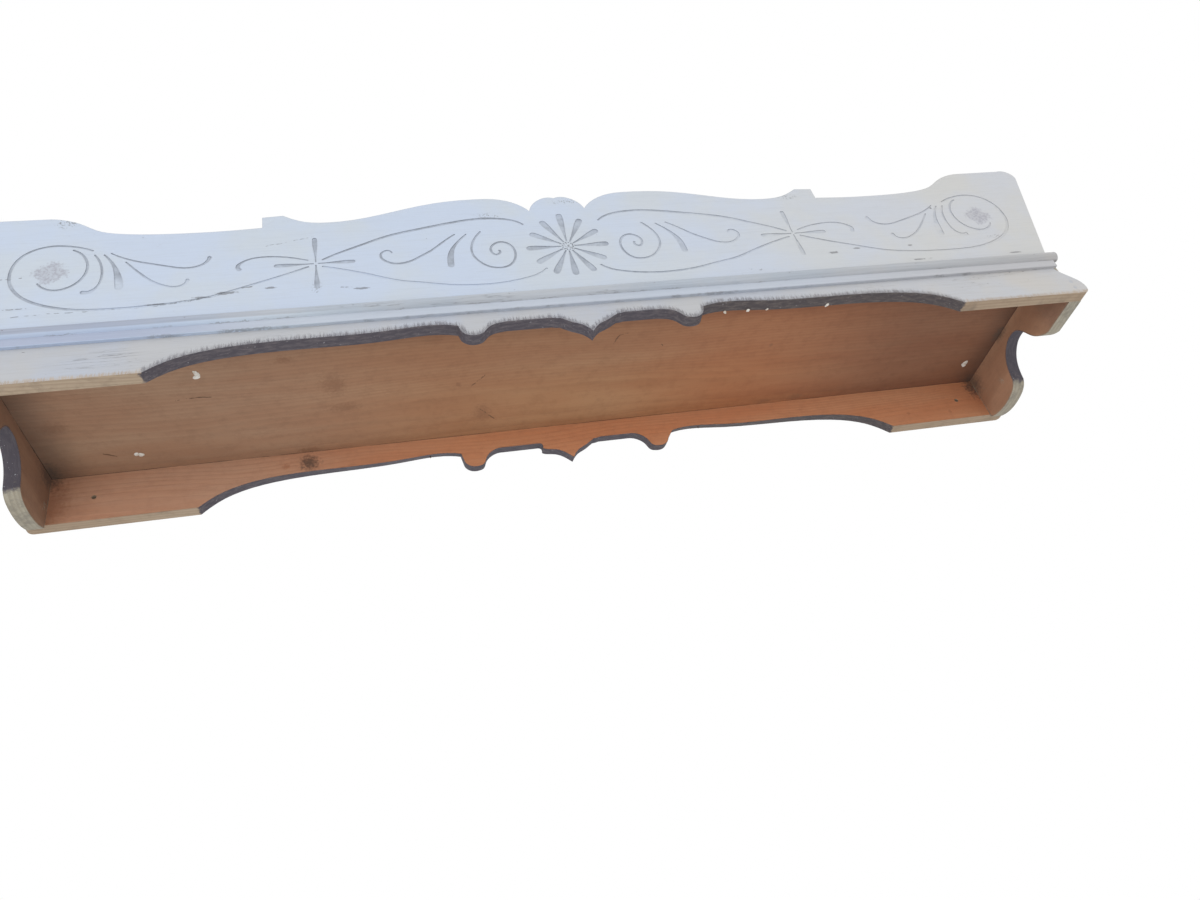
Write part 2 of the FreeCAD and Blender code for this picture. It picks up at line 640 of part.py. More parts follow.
def scallop_half(shoulder, rise, long_rise, sag, tab, slant, lift):
    """Half of a scalloped lower edge, from the middle point out to where the straight foot starts.

    shoulder lists the stops beside the point, rise and long_rise are the heights of the short and the long
    arch, sag is how far the long arch comes down, tab the distance to the small tab's outer side, slant how
    far that side leans, and lift raises the point and the tab. The first number of rise is at the point.
    """
    point, top = rise
    end = size("scallop_end")
    drop = size("small_tab_drop") + lift
    inner = tab - size("small_tab")
    low = long_rise - sag
    stops = [(x, point + (top - point) * share) for x, share in shoulder]
    outline = []
    outline.append(("curve", [(0.0, point)] + stops))
    outline.append(("curve", [stops[-1], (40.5, top - 0.8), (43.0, top)]))
    outline.append(("line", [(43.0, top), (inner - 26.0, top)]))
    outline.append(("curve", [
        (inner - 26.0, top),
        (inner - 16.0, top - 1.5),
        (inner - 8.0, top - (top - drop) * 0.24),
        (inner - 2.0, top - (top - drop) * 0.52),
        (inner + 3.0, drop + 2.5),
        (inner + 9.0, drop),
        (tab - 9.0, drop + 0.5),
        (tab - 3.5, drop + 4.0),
        (tab, drop + 10.0),
    ]))
    outline.append(("line", [(tab, drop + 10.0), (tab + slant, long_rise - 1.0)]))
    outline.append(("curve", [
        (tab + slant, long_rise - 1.0),
        (tab + slant + 5.0, long_rise + 0.4),
        (tab + (end - tab) * 0.25, long_rise),
        (tab + (end - tab) * 0.52, long_rise - sag * 0.5),
        (end - 90.0, low - 1.0),
        (end - 50.0, low * 0.76),
        (end - 26.0, low * 0.50),
        (end - 9.0, low * 0.20),
        (end, 0.0),
    ]))
    return outline


def apron_foot(end):
    """The straight foot, from the end of the scallops to the first point of the apron's end."""
    return [("line", [(size("scallop_end"), 0.0), end[0][1][0]])]


def flared_end(side):
    """The front apron's end: a rounded foot corner and a hollow flare up to the moulding."""
    foot = reach(side, size("foot_overhang"))
    waist = reach(side, -size("waist_inset"))
    flare = MOULDING_LOW - size("flare_drop")
    corner = size("foot_corner")
    return [
        ("arc", [(foot - corner, 0.0), (foot - corner * 0.3, corner * 0.3), (foot, corner)]),
        ("curve", [
            (foot, corner),
            (foot - (foot - waist) * 0.05, corner + (flare - corner) * 0.25),
            (foot - (foot - waist) * 0.46, corner + (flare - corner) * 0.60),
            (waist, flare),
        ]),
        ("line", [(waist, flare), (waist, SEAM)]),
    ]


def upright_end(side):
    """The rear apron's end, straight up to the underside of the shelf."""
    foot = reach(side, size("foot_overhang"))
    return [("line", [(foot, 0.0), (foot, size("shelf_underside"))])]


apron = new_body("front_apron")
apron_sketch = face_sketch(apron, "apron_outline", "Sizes.front_thickness")
FRONT_RISE = (size("point_drop"), size("arch_rise"))
left_half = scallop_half(SWEPT, FRONT_RISE, size("arch_rise"), 3.0, size("left_tab"), 1.5, 0.0)
right_half = scallop_half(SWEPT, FRONT_RISE, size("arch_rise"), 3.0, size("right_tab"), 2.0, 0.0)
add_outline(
    apron_sketch,
    left_half + apron_foot(flared_end(-1)) + flared_end(-1),
    right_half + apron_foot(flared_end(1)) + flared_end(1),
)
pad(apron, apron_sketch, "apron_board", "Sizes.front_thickness")
doc.recompute()
apron_holes = face_sketch(apron, "apron_nail_lines", "0")
holes(apron_holes, APRON_NAILS, NAIL_HOLE)
pocket(apron, apron_holes, "apron_nail_holes", "Sizes.front_thickness")
apron_heads = face_sketch(apron, "apron_head_lines", "0")
holes(apron_heads, APRON_NAILS, HEAD_HOLE)
pocket(apron, apron_heads, "apron_nail_sinks", "Sizes.nail_head + Sizes.nail_fit")


def rear_outline(sketch, lean):
    """Draw the rear apron as it is on one side, with the sawn edge raised by lean."""
    rise = (size("rear_point_drop") + lean, size("rear_arch_rise") + lean)
    long_rise = size("rear_long_rise") + lean * 2.0
    tab = size("left_tab")
    left_side = scallop_half(STEPPED, rise, long_rise, 3.5 + lean, tab - 3.0, 3.0, lean)
    right_side = scallop_half(SWEPT, rise, long_rise, 3.5 + lean, tab - 11.0, 9.0, lean)
    add_outline(
        sketch,
        left_side + apron_foot(upright_end(-1)) + upright_end(-1),
        right_side + apron_foot(upright_end(1)) + upright_end(1),
    )


rear = new_body("rear_apron")
rear_sketch = face_sketch(rear, "rear_outline", "Sizes.depth_overall")
rear_outline(rear_sketch, size("saw_lean"))
inner_sketch = face_sketch(rear, "rear_inner_outline", "Sizes.depth_overall - Sizes.rear_thickness")
rear_outline(inner_sketch, 0.0)
rear_board = rear.newObject("PartDesign::AdditiveLoft", "rear_board")
rear_board.Profile = rear_sketch
rear_board.Sections = [inner_sketch]
rear_board.Ruled = True
rear_sketch.Visibility = False
inner_sketch.Visibility = False
doc.recompute()

screw_sketch = face_sketch(rear, "screw_hole_lines", "Sizes.depth_overall - Sizes.rear_thickness")
SCREWS = [(side * (HALF_LENGTH - size("screw_inset")), size("screw_height")) for side in (-1, 1)]
holes(screw_sketch, SCREWS, "Sizes.screw_hole_radius")
pocket(rear, screw_sketch, "screw_holes", "Sizes.rear_thickness")
rear_holes = face_sketch(rear, "rear_nail_lines", "Sizes.depth_overall")
holes(rear_holes, REAR_END_NAILS, NAIL_HOLE)
pocket(rear, rear_holes, "rear_nail_holes", "Sizes.rear_thickness", True)
rear_heads = face_sketch(rear, "rear_head_lines", "Sizes.depth_overall")
holes(rear_heads, REAR_END_NAILS, HEAD_HOLE)
pocket(rear, rear_heads, "rear_nail_sinks", "Sizes.nail_head + Sizes.nail_fit", True)
top_holes = flat_sketch(rear, "rear_top_lines", "Sizes.shelf_underside")
holes(top_holes, REAR_TOP_NAILS, NAIL_HOLE)
pocket(rear, top_holes, "rear_top_holes", "Sizes.nail_length - Sizes.shelf_thickness + 0.5")


def upright_edges(shape, x_at, y_at):
    """Names of the upright edges at this distance along X and this far back."""
    names = []
    for number, edge in enumerate(shape.Edges, start=1):
        box = edge.BoundBox
        upright = box.XLength < 0.01 and box.YLength < 0.01 and box.ZLength > 5.0
        if upright and abs(box.XMin - x_at) < 0.01 and abs(box.YMin - y_at) < 0.01:
            names.append("Edge%d" % number)
    return names


rounding = rear.newObject("PartDesign::Fillet", "wall_corners")
corner_edges = upright_edges(rear.Shape, -reach(-1, size("foot_overhang")), 0.0)
corner_edges += upright_edges(rear.Shape, reach(1, size("foot_overhang")), 0.0)
rounding.Base = (doc.getObject("rear_top_holes"), corner_edges)
rounding.setExpression("Radius", "Sizes.wall_corner")
rear.Tip = rounding
doc.recompute()

# ---------------------------------------------------------------- brackets
def bracket_outline():
    """Lower edge with the front lobe, the C-cut and the rounded heel, from the front foot round."""
    front = size("front_thickness")
    rear_y = BACK - size("rear_thickness")
    top = size("shelf_underside")
    near = size("cut_front")
    peak = size("cut_peak")
    far = size("cut_rear")
    high = size("cut_height")
    heel = size("heel_drop")
    climb = peak - near
    fall = far - peak
    back = rear_y - far
    return [
        line((front, 0.0), (near, 0.0)),
        curve([
            (near, 0.0),
            (near + climb * 0.16, high * 0.08),
            (near + climb * 0.31, high * 0.20),
            (near + climb * 0.44, high * 0.36),
            (near + climb * 0.53, high * 0.54),
            (near + climb * 0.64, high * 0.77),
            (near + climb * 0.79, high * 0.95),
            (peak, high),
            (peak + fall * 0.28, high * 0.96),
            (peak + fall * 0.55, high * 0.83),
            (peak + fall * 0.74, high * 0.67),
            (peak + fall * 0.89, high * 0.44),
            (peak + fall * 0.97, high * 0.20),
            (far, 3.0),
        ]),
        curve([
            (far, 3.0),
            (far + back * 0.11, -heel * 0.5),
            (far + back * 0.31, -heel * 0.9),
            (far + back * 0.54, -heel),
            (far + back * 0.80, -heel * 0.8),
            (rear_y, -heel * 0.35),
        ]),
        line((rear_y, -heel * 0.35), (rear_y, top)),
        line((rear_y, top), (front, top)),
        line((front, top), (front, 0.0)),
    ]


LEFT_END = "-Sizes.bracket_outer - Sizes.left_extra"


def bracket(name, side):
    """An end bracket with its nail holes."""
    body = new_body(name)
    inner = "Sizes.bracket_outer - Sizes.bracket_thickness" if side > 0 else LEFT_END
    outline = side_sketch(body, name + "_outline", inner)
    add_edges(outline, bracket_outline())
    pad(body, outline, name + "_board", "Sizes.bracket_thickness")
    doc.recompute()
    from_top = flat_sketch(body, name + "_top_lines", "Sizes.shelf_underside")
    holes(from_top, [(x, y) for x, y in BRACKET_TOP_NAILS if x * side > 0], NAIL_HOLE)
    pocket(body, from_top, name + "_top_holes", "Sizes.nail_length - Sizes.shelf_thickness + 0.5")
    from_front = face_sketch(body, name + "_front_lines", "Sizes.front_thickness")
    holes(from_front, [(x, z) for x, z in APRON_NAILS if x * side > 0], NAIL_HOLE)
    pocket(body, from_front, name + "_front_holes", "Sizes.nail_length - Sizes.front_thickness + 0.5")
    from_rear = face_sketch(body, name + "_rear_lines", "Sizes.depth_overall - Sizes.rear_thickness")
    holes(from_rear, [(x, z) for x, z in REAR_END_NAILS if x * side > 0], NAIL_HOLE)
    pocket(body, from_rear, name + "_rear_holes", "Sizes.nail_length - Sizes.rear_thickness + 0.5", True)
    return body


right = bracket("right_bracket", 1)
left = bracket("left_bracket", -1)

# ---------------------------------------------------------------- shelf board
shelf = new_body("shelf_board")
shelf_sketch = flat_sketch(shelf, "shelf_outline", "Sizes.shelf_underside")
rectangle(shelf_sketch, LEFT_END, "Sizes.front_thickness", "Sizes.bracket_outer", "Sizes.depth_overall")
pad(shelf, shelf_sketch, "shelf_plank", "Sizes.shelf_thickness")
doc.recompute()
shelf_top = flat_sketch(shelf, "shelf_nail_lines", "Sizes.shelf_underside + Sizes.shelf_thickness")
holes(shelf_top, BRACKET_TOP_NAILS + REAR_TOP_NAILS, NAIL_HOLE)
pocket(shelf, shelf_top, "shelf_nail_holes", "Sizes.shelf_thickness")
shelf_heads = flat_sketch(shelf, "shelf_head_lines", "Sizes.shelf_underside + Sizes.shelf_thickness")
holes(shelf_heads, BRACKET_TOP_NAILS + REAR_TOP_NAILS, HEAD_HOLE)
pocket(shelf, shelf_heads, "shelf_nail_sinks", "Sizes.nail_head + Sizes.nail_fit")
shelf_edge = face_sketch(shelf, "shelf_edge_lines", "Sizes.front_thickness")
holes(shelf_edge, CREST_NAILS, NAIL_HOLE)
pocket(shelf, shelf_edge, "shelf_edge_holes", "Sizes.nail_length - Sizes.front_thickness + 0.5")

# ---------------------------------------------------------------- moulding
moulding = new_body("waist_moulding")
HALF_MOULDING = "Sizes.bracket_outer - Sizes.waist_inset + Sizes.moulding_overhang"
profile = side_sketch(moulding, "moulding_profile", "-(%s) - Sizes.left_extra" % HALF_MOULDING)
low_z = MOULDING_LOW
step_z = low_z + size("moulding_fillet")
high_z = step_z + size("moulding_bead")
fillet_y = -size("fillet_projection")
bead_y = -size("bead_projection")
bead_mid = (step_z + high_z) / 2
add_edges(profile, [
    line((0.0, low_z), (fillet_y + 1.0, low_z)),
    arc((fillet_y + 1.0, low_z), (fillet_y + 0.3, low_z + 0.3), (fillet_y, low_z + 1.0)),
    line((fillet_y, low_z + 1.0), (fillet_y, step_z)),
    arc((fillet_y, step_z), (bead_y, bead_mid), (fillet_y + 1.2, high_z - 1.0)),
    line((fillet_y + 1.2, high_z - 1.0), (0.0, high_z)),
    line((0.0, high_z), (0.0, low_z)),
])
pad(moulding, profile, "moulding_strip", "2 * (%s) + Sizes.left_extra" % HALF_MOULDING)
doc.recompute()
short_ends = face_sketch(moulding, "fillet_end_lines", "-Sizes.fillet_projection - 1")
FILLET_END = "Sizes.bracket_outer - Sizes.waist_inset + Sizes.fillet_overhang"
FILLET_LOW = "Sizes.shelf_underside - Sizes.seam_drop - Sizes.moulding_drop - 1"
FILLET_HIGH = "Sizes.shelf_underside - Sizes.seam_drop - Sizes.moulding_drop + Sizes.moulding_fillet"
rectangle(short_ends, FILLET_END, FILLET_LOW, HALF_MOULDING + " + 1", FILLET_HIGH)
LEFT_FILLET_END = "-(%s) - Sizes.left_extra" % FILLET_END
rectangle(short_ends, "-(%s) - Sizes.left_extra - 1" % HALF_MOULDING, FILLET_LOW, LEFT_FILLET_END, FILLET_HIGH)
pocket(moulding, short_ends, "fillet_ends", "Sizes.fillet_projection + 1")
pin_sketch = face_sketch(moulding, "moulding_pin_lines", "-Sizes.bead_projection")
holes(pin_sketch, PINS, PIN_HOLE)
pocket(moulding, pin_sketch, "moulding_pin_holes", "Sizes.bead_projection")
crest_pin_sketch = face_sketch(crest, "crest_pin_lines", "0")
holes(crest_pin_sketch, PINS, PIN_HOLE)
pocket(crest, crest_pin_sketch, "crest_pin_holes", "Sizes.pin_length - Sizes.bead_projection + 0.5")


# ---------------------------------------------------------------- nails
def nail_solid(length, radius, head_radius, head):
    """A nail along +Z with its head's top at the origin, pointing down."""
    shank = Part.makeCylinder(radius, length - head - 3.0, FreeCAD.Vector(0, 0, -(length - 3.0)))
    point = Part.makeCone(0.25, radius, 3.0, FreeCAD.Vector(0, 0, -length))
    cap = Part.makeCylinder(head_radius, head, FreeCAD.Vector(0, 0, -head))
    return cap.fuse([shank, point]).removeSplitter()


def nail_group(name, places, rotation, length, radius, head_radius, head):
    """Identical nails in one node, each a solid of its own."""
    solids = []
    for place in places:
        nail = nail_solid(length, radius, head_radius, head)
        nail.Placement = FreeCAD.Placement(place, rotation)
        solids.append(nail)
    group = doc.addObject("Part::Feature", name)
    group.Label = name
    group.Shape = Part.makeCompound(solids)
    return group


DOWN = FreeCAD.Rotation()
INTO_FRONT = FreeCAD.Rotation(FreeCAD.Vector(1, 0, 0), 90.0)
INTO_REAR = FreeCAD.Rotation(FreeCAD.Vector(1, 0, 0), -90.0)
SHELF_TOP = size("shelf_underside") + size("shelf_thickness")
NAIL = (size("nail_length"), size("nail_radius"), size("nail_head_radius"), size("nail_head"))
PIN = (size("pin_length"), size("pin_radius"), size("pin_radius"), 0.6)
nail_group("crest_nails", [vec(x, 0.05, z) for x, z in CREST_NAILS], INTO_FRONT, *NAIL)
nail_group("apron_nails", [vec(x, 0.05, z) for x, z in APRON_NAILS], INTO_FRONT, *NAIL)
nail_group("moulding_pins", [vec(x, bead_y + 0.25, z) for x, z in PINS], INTO_FRONT, *PIN)
nail_group("bracket_top_nails", [vec(x, y, SHELF_TOP - 0.05) for x, y in BRACKET_TOP_NAILS], DOWN, *NAIL)
nail_group("rear_top_nails", [vec(x, y, SHELF_TOP - 0.05) for x, y in REAR_TOP_NAILS], DOWN, *NAIL)
nail_group("rear_end_nails", [vec(x, BACK - 0.05, z) for x, z in REAR_END_NAILS], INTO_REAR, *NAIL)

# ---------------------------------------------------------------- check and write
doc.recompute()
NODES = [
    "crest_panel",
    "front_apron",
    "waist_moulding",
    "shelf_board",
    "rear_apron",
    "left_bracket",
    "right_bracket",
    "crest_nails",
    "apron_nails",
    "moulding_pins",
    "bracket_top_nails",
    "rear_top_nails",
    "rear_end_nails",
]
for item in doc.Objects:
    if "Invalid" in item.State or "Error" in item.State:
        raise RuntimeError("%s failed: %s" % (item.Name, item.State))
for label in NODES:
    item = doc.getObjectsByLabel(label)[0]
    if item.Shape.isNull() or not item.Shape.isValid():
        raise RuntimeError("%s has no valid shape" % label)
os.makedirs("parts", exist_ok=True)
for label in NODES:
    item = doc.getObjectsByLabel(label)[0]
    item.Shape.exportStep("parts/%s.step" % label)
    print(label, len(item.Shape.Solids), round(item.Shape.Volume))
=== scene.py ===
"""Finishes of an old painted pine wall shelf, laid on its packed boards.

Metres, +Z up. The wall is the plane y = 0 and the carved front stands at y = -0.264.
"""
import logging
from dataclasses import dataclass
from enum import Enum
from typing import Sequence

import bpy
from mathutils import Matrix, Vector


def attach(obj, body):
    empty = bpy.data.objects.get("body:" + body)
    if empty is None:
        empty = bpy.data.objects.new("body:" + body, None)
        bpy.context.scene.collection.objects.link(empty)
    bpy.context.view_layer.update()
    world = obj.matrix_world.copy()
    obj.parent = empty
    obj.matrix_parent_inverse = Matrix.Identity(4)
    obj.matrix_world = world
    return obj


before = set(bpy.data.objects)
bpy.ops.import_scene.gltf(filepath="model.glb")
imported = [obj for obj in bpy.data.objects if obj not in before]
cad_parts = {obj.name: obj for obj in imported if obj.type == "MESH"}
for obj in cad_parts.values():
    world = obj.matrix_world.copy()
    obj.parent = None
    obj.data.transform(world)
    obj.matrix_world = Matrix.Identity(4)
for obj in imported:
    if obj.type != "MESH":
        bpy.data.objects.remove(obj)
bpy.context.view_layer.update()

log = logging.getLogger("wall_shelf")

Colour = tuple[float, float, float]
Point = tuple[float, float, float]
Span = tuple[float, float]
Socket = bpy.types.NodeSocket
Feed = Socket | float | Sequence[float]


class Grain(Enum):
    """How a board was sawn: the way its grain runs, and the way its width lies."""

    LONG_X_WIDE_Y = ("X", "Y", "Z")
    LONG_X_WIDE_Z = ("X", "Z", "Y")
    LONG_Y_WIDE_Z = ("Y", "Z", "X")


class Wiring:
    """Writes nodes into one tree, so that a finish reads as a short list of steps."""

    def __init__(self, tree: bpy.types.NodeTree) -> None:
        """Keeps the tree that the nodes go into.

        Args:
            tree: a material's or a group's node tree.
        """
        self.tree = tree

    def node(self, kind: str, feeds: dict[int | str, Feed] | None = None,
             **settings: object) -> bpy.types.Node:
        """Adds one node.

        Args:
            kind: Blender's name of the node type.
            feeds: what goes into its inputs, by name or by place.
            **settings: attributes to set on it.

        Returns:
            The new node.
        """
        made = self.tree.nodes.new(kind)
        for name, value in settings.items():
            setattr(made, name, value)
        for place, source in (feeds or {}).items():
            self.feed(made.inputs[place], source)
        return made

    def feed(self, target: Socket, source: Feed) -> None:
        """Links a socket into another, or sets the other's own value.

        Args:
            target: the input socket.
            source: an output socket, a number or a row of numbers.
        """
        if isinstance(source, Socket):
            self.tree.links.new(source, target)
        elif isinstance(source, (int, float)):
            target.default_value = source
        elif len(source) == 3 and target.type == "RGBA":
            target.default_value = (*source, 1.0)
        else:
            target.default_value = tuple(source)

    def math(self, operation: str, first: Feed, second: Feed = 0.0, clamp: bool = False) -> Socket:
        """Adds a Math node.

        Args:
            operation: its operation.
            first, second: what goes in.
            clamp: whether the result stays between 0 and 1.

        Returns:
            The result.
        """
        feeds = {0: first, 1: second}
        return self.node("ShaderNodeMath", feeds, operation=operation, use_clamp=clamp).outputs[0]

    def times(self, first: Feed, second: Feed, clamp: bool = False) -> Socket:
        """Multiplies two numbers."""
        return self.math("MULTIPLY", first, second, clamp)

    def plus(self, first: Feed, second: Feed) -> Socket:
        """Adds two numbers."""
        return self.math("ADD", first, second)

    def minus(self, first: Feed, second: Feed, clamp: bool = False) -> Socket:
        """Takes the second number from the first."""
        return self.math("SUBTRACT", first, second, clamp)

    def rest(self, mask: Feed) -> Socket:
        """Turns a mask round, so that it covers what it left free."""
        return self.math("SUBTRACT", 1.0, mask)

    def vector(self, operation: str, first: Feed, second: Feed = (0.0, 0.0, 0.0)) -> bpy.types.Node:
        """Adds a Vector Math node, whose outputs are a vector and a value."""
        return self.node("ShaderNodeVectorMath", {0: first, 1: second}, operation=operation)

    def mix(self, share: Feed, first: Feed, second: Feed, way: str = "MIX") -> Socket:
        """Mixes two colours.

        Args:
            share: how much of the second one.
            first, second: the colours.
            way: the blend type.

        Returns:
            The mixed colour.
        """
        feeds = {"Factor": share, 6: first, 7: second}
        return self.node("ShaderNodeMix", feeds, data_type="RGBA", blend_type=way).outputs[2]

    def tint(self, share: Feed, colour: Feed, factors: Colour) -> Socket:
        """Multiplies a colour by three factors where a mask says so."""
        return self.mix(share, colour, self.mix(1.0, colour, factors, "MULTIPLY"))

    def mix_value(self, share: Feed, first: Feed, second: Feed) -> Socket:
        """Mixes two numbers, with share as how much of the second one."""
        feeds = {"Factor": share, 2: first, 3: second}
        return self.node("ShaderNodeMix", feeds, data_type="FLOAT").outputs[0]

    def step(self, value: Feed, low: Feed, high: Feed) -> Socket:
        """Turns a number into a soft mask that is 0 at low and 1 at high."""
        feeds = {"Value": value, "From Min": low, "From Max": high}
        return self.node("ShaderNodeMapRange", feeds, interpolation_type="SMOOTHSTEP").outputs["Result"]

    def noise(self, where: Feed, scale: float, detail: float = 2.0, rough: float = 0.5) -> Socket:
        """Adds a noise pattern.

        Args:
            where: the coordinates that it reads.
            scale: patches per metre.
            detail: how many finer layers.
            rough: how strong those layers are.

        Returns:
            A number around one half.
        """
        feeds = {"Vector": where, "Scale": scale, "Detail": detail, "Roughness": rough}
        return self.node("ShaderNodeTexNoise", feeds, noise_dimensions="3D").outputs["Fac"]

    def stretched(self, where: Feed, scale: Point, shift: Point = (0.0, 0.0, 0.0)) -> Socket:
        """Makes a pattern denser along each axis by scale, and moves it by shift."""
        feeds = {"Vector": where, "Location": shift, "Scale": scale}
        return self.node("ShaderNodeMapping", feeds, vector_type="POINT").outputs["Vector"]

    def split(self, vector: Feed) -> tuple[Socket, ...]:
        """Splits a vector into its x, y and z."""
        return tuple(self.node("ShaderNodeSeparateXYZ", {0: vector}).outputs)

    def joined(self, x: Feed, y: Feed, z: Feed) -> Socket:
        """Makes a vector of three numbers."""
        return self.node("ShaderNodeCombineXYZ", {0: x, 1: y, 2: z}).outputs[0]

    def most(self, masks: Sequence[Socket]) -> Socket:
        """Joins masks into the strongest of them.

        Args:
            masks: one or more masks.

        Returns:
            Their maximum.
        """
        result = masks[0]
        for mask in masks[1:]:
            result = self.math("MAXIMUM", result, mask)
        return result

    def use(self, group: bpy.types.NodeTree, **values: Feed) -> bpy.types.Node:
        """Places a shared effect.

        Args:
            group: its node group.
            **values: its inputs by name, with _ for a space.

        Returns:
            The group's node.
        """
        feeds = {name.replace("_", " "): value for name, value in values.items()}
        return self.node("ShaderNodeGroup", feeds, node_tree=group)


def new_group(name: str, takes: dict[str, str],
              gives: dict[str, str]) -> tuple[Wiring, bpy.types.Node, bpy.types.Node]:
    """Starts a shader node group.

    Args:
        name: what the group is called.
        takes: its inputs, name to socket type.
        gives: its outputs, name to socket type.

    Returns:
        Its wiring, its input node and its output node.
    """
    tree = bpy.data.node_groups.new(name, "ShaderNodeTree")
    for sockets, way in ((takes, "INPUT"), (gives, "OUTPUT")):
        for socket, kind in sockets.items():
            tree.interface.new_socket(socket, in_out=way, socket_type="NodeSocket" + kind)
    wiring = Wiring(tree)
    return wiring, wiring.node("NodeGroupInput"), wiring.node("NodeGroupOutput")


class SharedEffects:
    """The effects that several finishes use, each a node group built once."""

    def __init__(self) -> None:
        """Builds every group."""
        self.pine = self.build_pine()
        self.wear = self.build_wear()
        self.rim = self.build_rim()
        self.spot = self.build_spot()
        self.scratch = self.build_scratch()
        self.rosette = self.build_rosette()

    def build_pine(self) -> bpy.types.NodeTree:
        """Builds the figure of a sawn pine board.

        Returns:
            A group that reads coordinates in metres: x along the grain, y across, z through the board.
        """
        w, given, out = new_group(
            "pine_figure",
            {"Where": "Vector", "Pith": "Float", "Seed": "Float"},
            {"Rings": "Float", "Fibre": "Float", "Clouds": "Float", "Knots": "Float", "Height": "Float"},
        )
        where = w.vector("ADD", given.outputs["Where"], w.joined(given.outputs["Seed"], 0.0, 0.0)).outputs[0]
        along, across, through = w.split(where)
        bend = w.noise(w.stretched(where, (1.6, 5.0, 5.0)), 1.0, 2.0)
        centre = w.plus(given.outputs["Pith"], w.times(bend, 0.09))
        side = w.minus(across, centre)
        deep = w.plus(through, 0.035)
        radius = w.math("SQRT", w.plus(w.times(side, side), w.times(deep, deep)))
        uneven = w.times(w.noise(w.stretched(where, (2.0, 30.0, 30.0)), 1.0, 3.0, 0.6), 1.9)
        ring = w.math("FRACT", w.plus(w.times(radius, 190.0), uneven))
        rings = w.times(w.step(ring, 0.15, 0.85), w.rest(w.step(ring, 0.86, 1.0)))
        fibre = w.noise(w.stretched(where, (14.0, 900.0, 900.0)), 1.0, 3.0, 0.65)
        clouds = w.noise(w.stretched(where, (3.2, 17.0, 17.0)), 1.0, 4.0, 0.6)
        cells = w.node("ShaderNodeTexVoronoi", {"Vector": w.stretched(where, (2.4, 7.0, 0.5)), "Scale": 1.0},
                       feature="F1", voronoi_dimensions="3D")
        knots = w.rest(w.step(cells.outputs["Distance"], 0.025, 0.06))
        height = w.plus(w.times(rings, 0.4), w.times(fibre, 0.6))
        for name, value in (("Rings", rings), ("Fibre", fibre), ("Clouds", clouds), ("Knots", knots),
                            ("Height", height)):
            w.feed(out.inputs[name], value)
        return w.tree

    def build_wear(self) -> bpy.types.NodeTree:
        """Builds the age marks of brushed paint: chips, hairline cracks, blotches and brush strokes.

        Returns:
            A group that reads coordinates in metres with x along the brush.
        """
        w, given, out = new_group(
            "paint_wear",
            {"Where": "Vector", "Chipping": "Float", "Seed": "Float"},
            {"Chips": "Float", "Cracks": "Float", "Blotches": "Float", "Brush": "Float"},
        )
        where = w.vector("ADD", given.outputs["Where"], w.joined(given.outputs["Seed"], 0.0, 0.0)).outputs[0]
        home = w.noise(w.stretched(where, (6.0, 18.0, 18.0)), 1.0, 2.0)
        grit = w.noise(w.stretched(where, (160.0, 420.0, 420.0)), 1.0, 2.0, 0.6)
        wanted = w.plus(w.times(home, 0.55), w.times(grit, 0.75))
        edge = w.minus(0.93, w.times(given.outputs["Chipping"], 0.22))
        chips = w.step(wanted, edge, w.plus(edge, 0.02))
        thread = w.noise(w.stretched(where, (9.0, 150.0, 150.0)), 1.0, 3.0, 0.55)
        line = w.rest(w.step(w.math("ABSOLUTE", w.minus(thread, 0.5)), 0.0, 0.012))
        dry = w.noise(w.stretched(where, (7.0, 22.0, 22.0), (3.0, 1.0, 2.0)), 1.0, 1.0)
        cracks = w.times(line, w.step(dry, 0.56, 0.68))
        blotches = w.noise(where, 9.0, 4.0, 0.6)
        brush = w.noise(w.stretched(where, (22.0, 620.0, 620.0)), 1.0, 2.0, 0.6)
        for name, value in (("Chips", chips), ("Cracks", cracks), ("Blotches", blotches), ("Brush", brush)):
            w.feed(out.inputs[name], value)
        return w.tree

    def build_rim(self) -> bpy.types.NodeTree:
        """Builds a ragged band along every edge of a board.

        Returns:
            A group with the band's width and raggedness as inputs.
        """
        w, given, out = new_group(
            "ragged_rim",
            {"Where": "Vector", "Width": "Float", "Ragged": "Float"},
            {"Rim": "Float", "Near": "Float"},
        )
        eased = w.node("ShaderNodeBevel", {"Radius": given.outputs["Width"]}, samples=6)
        flat = w.node("ShaderNodeNewGeometry")
        alike = w.vector("DOT_PRODUCT", eased.outputs["Normal"], flat.outputs["True Normal"]).outputs["Value"]
        near = w.times(w.rest(alike), 3.4, clamp=True)
        teeth = w.noise(given.outputs["Where"], 420.0, 3.0, 0.65)
        waves = w.noise(given.outputs["Where"], 45.0, 1.0)
        torn = w.times(w.minus(w.plus(teeth, waves), 1.0), given.outputs["Ragged"])
        w.feed(out.inputs["Rim"], w.step(w.plus(near, torn), 0.30, 0.46))
        w.feed(out.inputs["Near"], near)
        return w.tree

    def build_spot(self) -> bpy.types.NodeTree:
        """Builds one soft oval mark with a broken outline.

        Returns:
            A group with the mark's middle and half sizes as inputs.
        """
        w, given, out = new_group(
            "oval_mark",
            {"Where": "Vector", "Middle": "Vector", "Half Size": "Vector", "Softness": "Float"},
            {"Mark": "Float"},
        )
        away = w.vector("SUBTRACT", given.outputs["Where"], given.outputs["Middle"]).outputs[0]
        share = w.vector("DIVIDE", away, given.outputs["Half Size"]).outputs[0]
        reach = w.vector("LENGTH", share).outputs["Value"]
        torn = w.times(w.minus(w.noise(given.outputs["Where"], 260.0, 3.0, 0.6), 0.5), 1.6)
        reach = w.plus(reach, torn)
        start = w.rest(given.outputs["Softness"])
        w.feed(out.inputs["Mark"], w.rest(w.step(reach, start, 1.02)))
        return w.tree

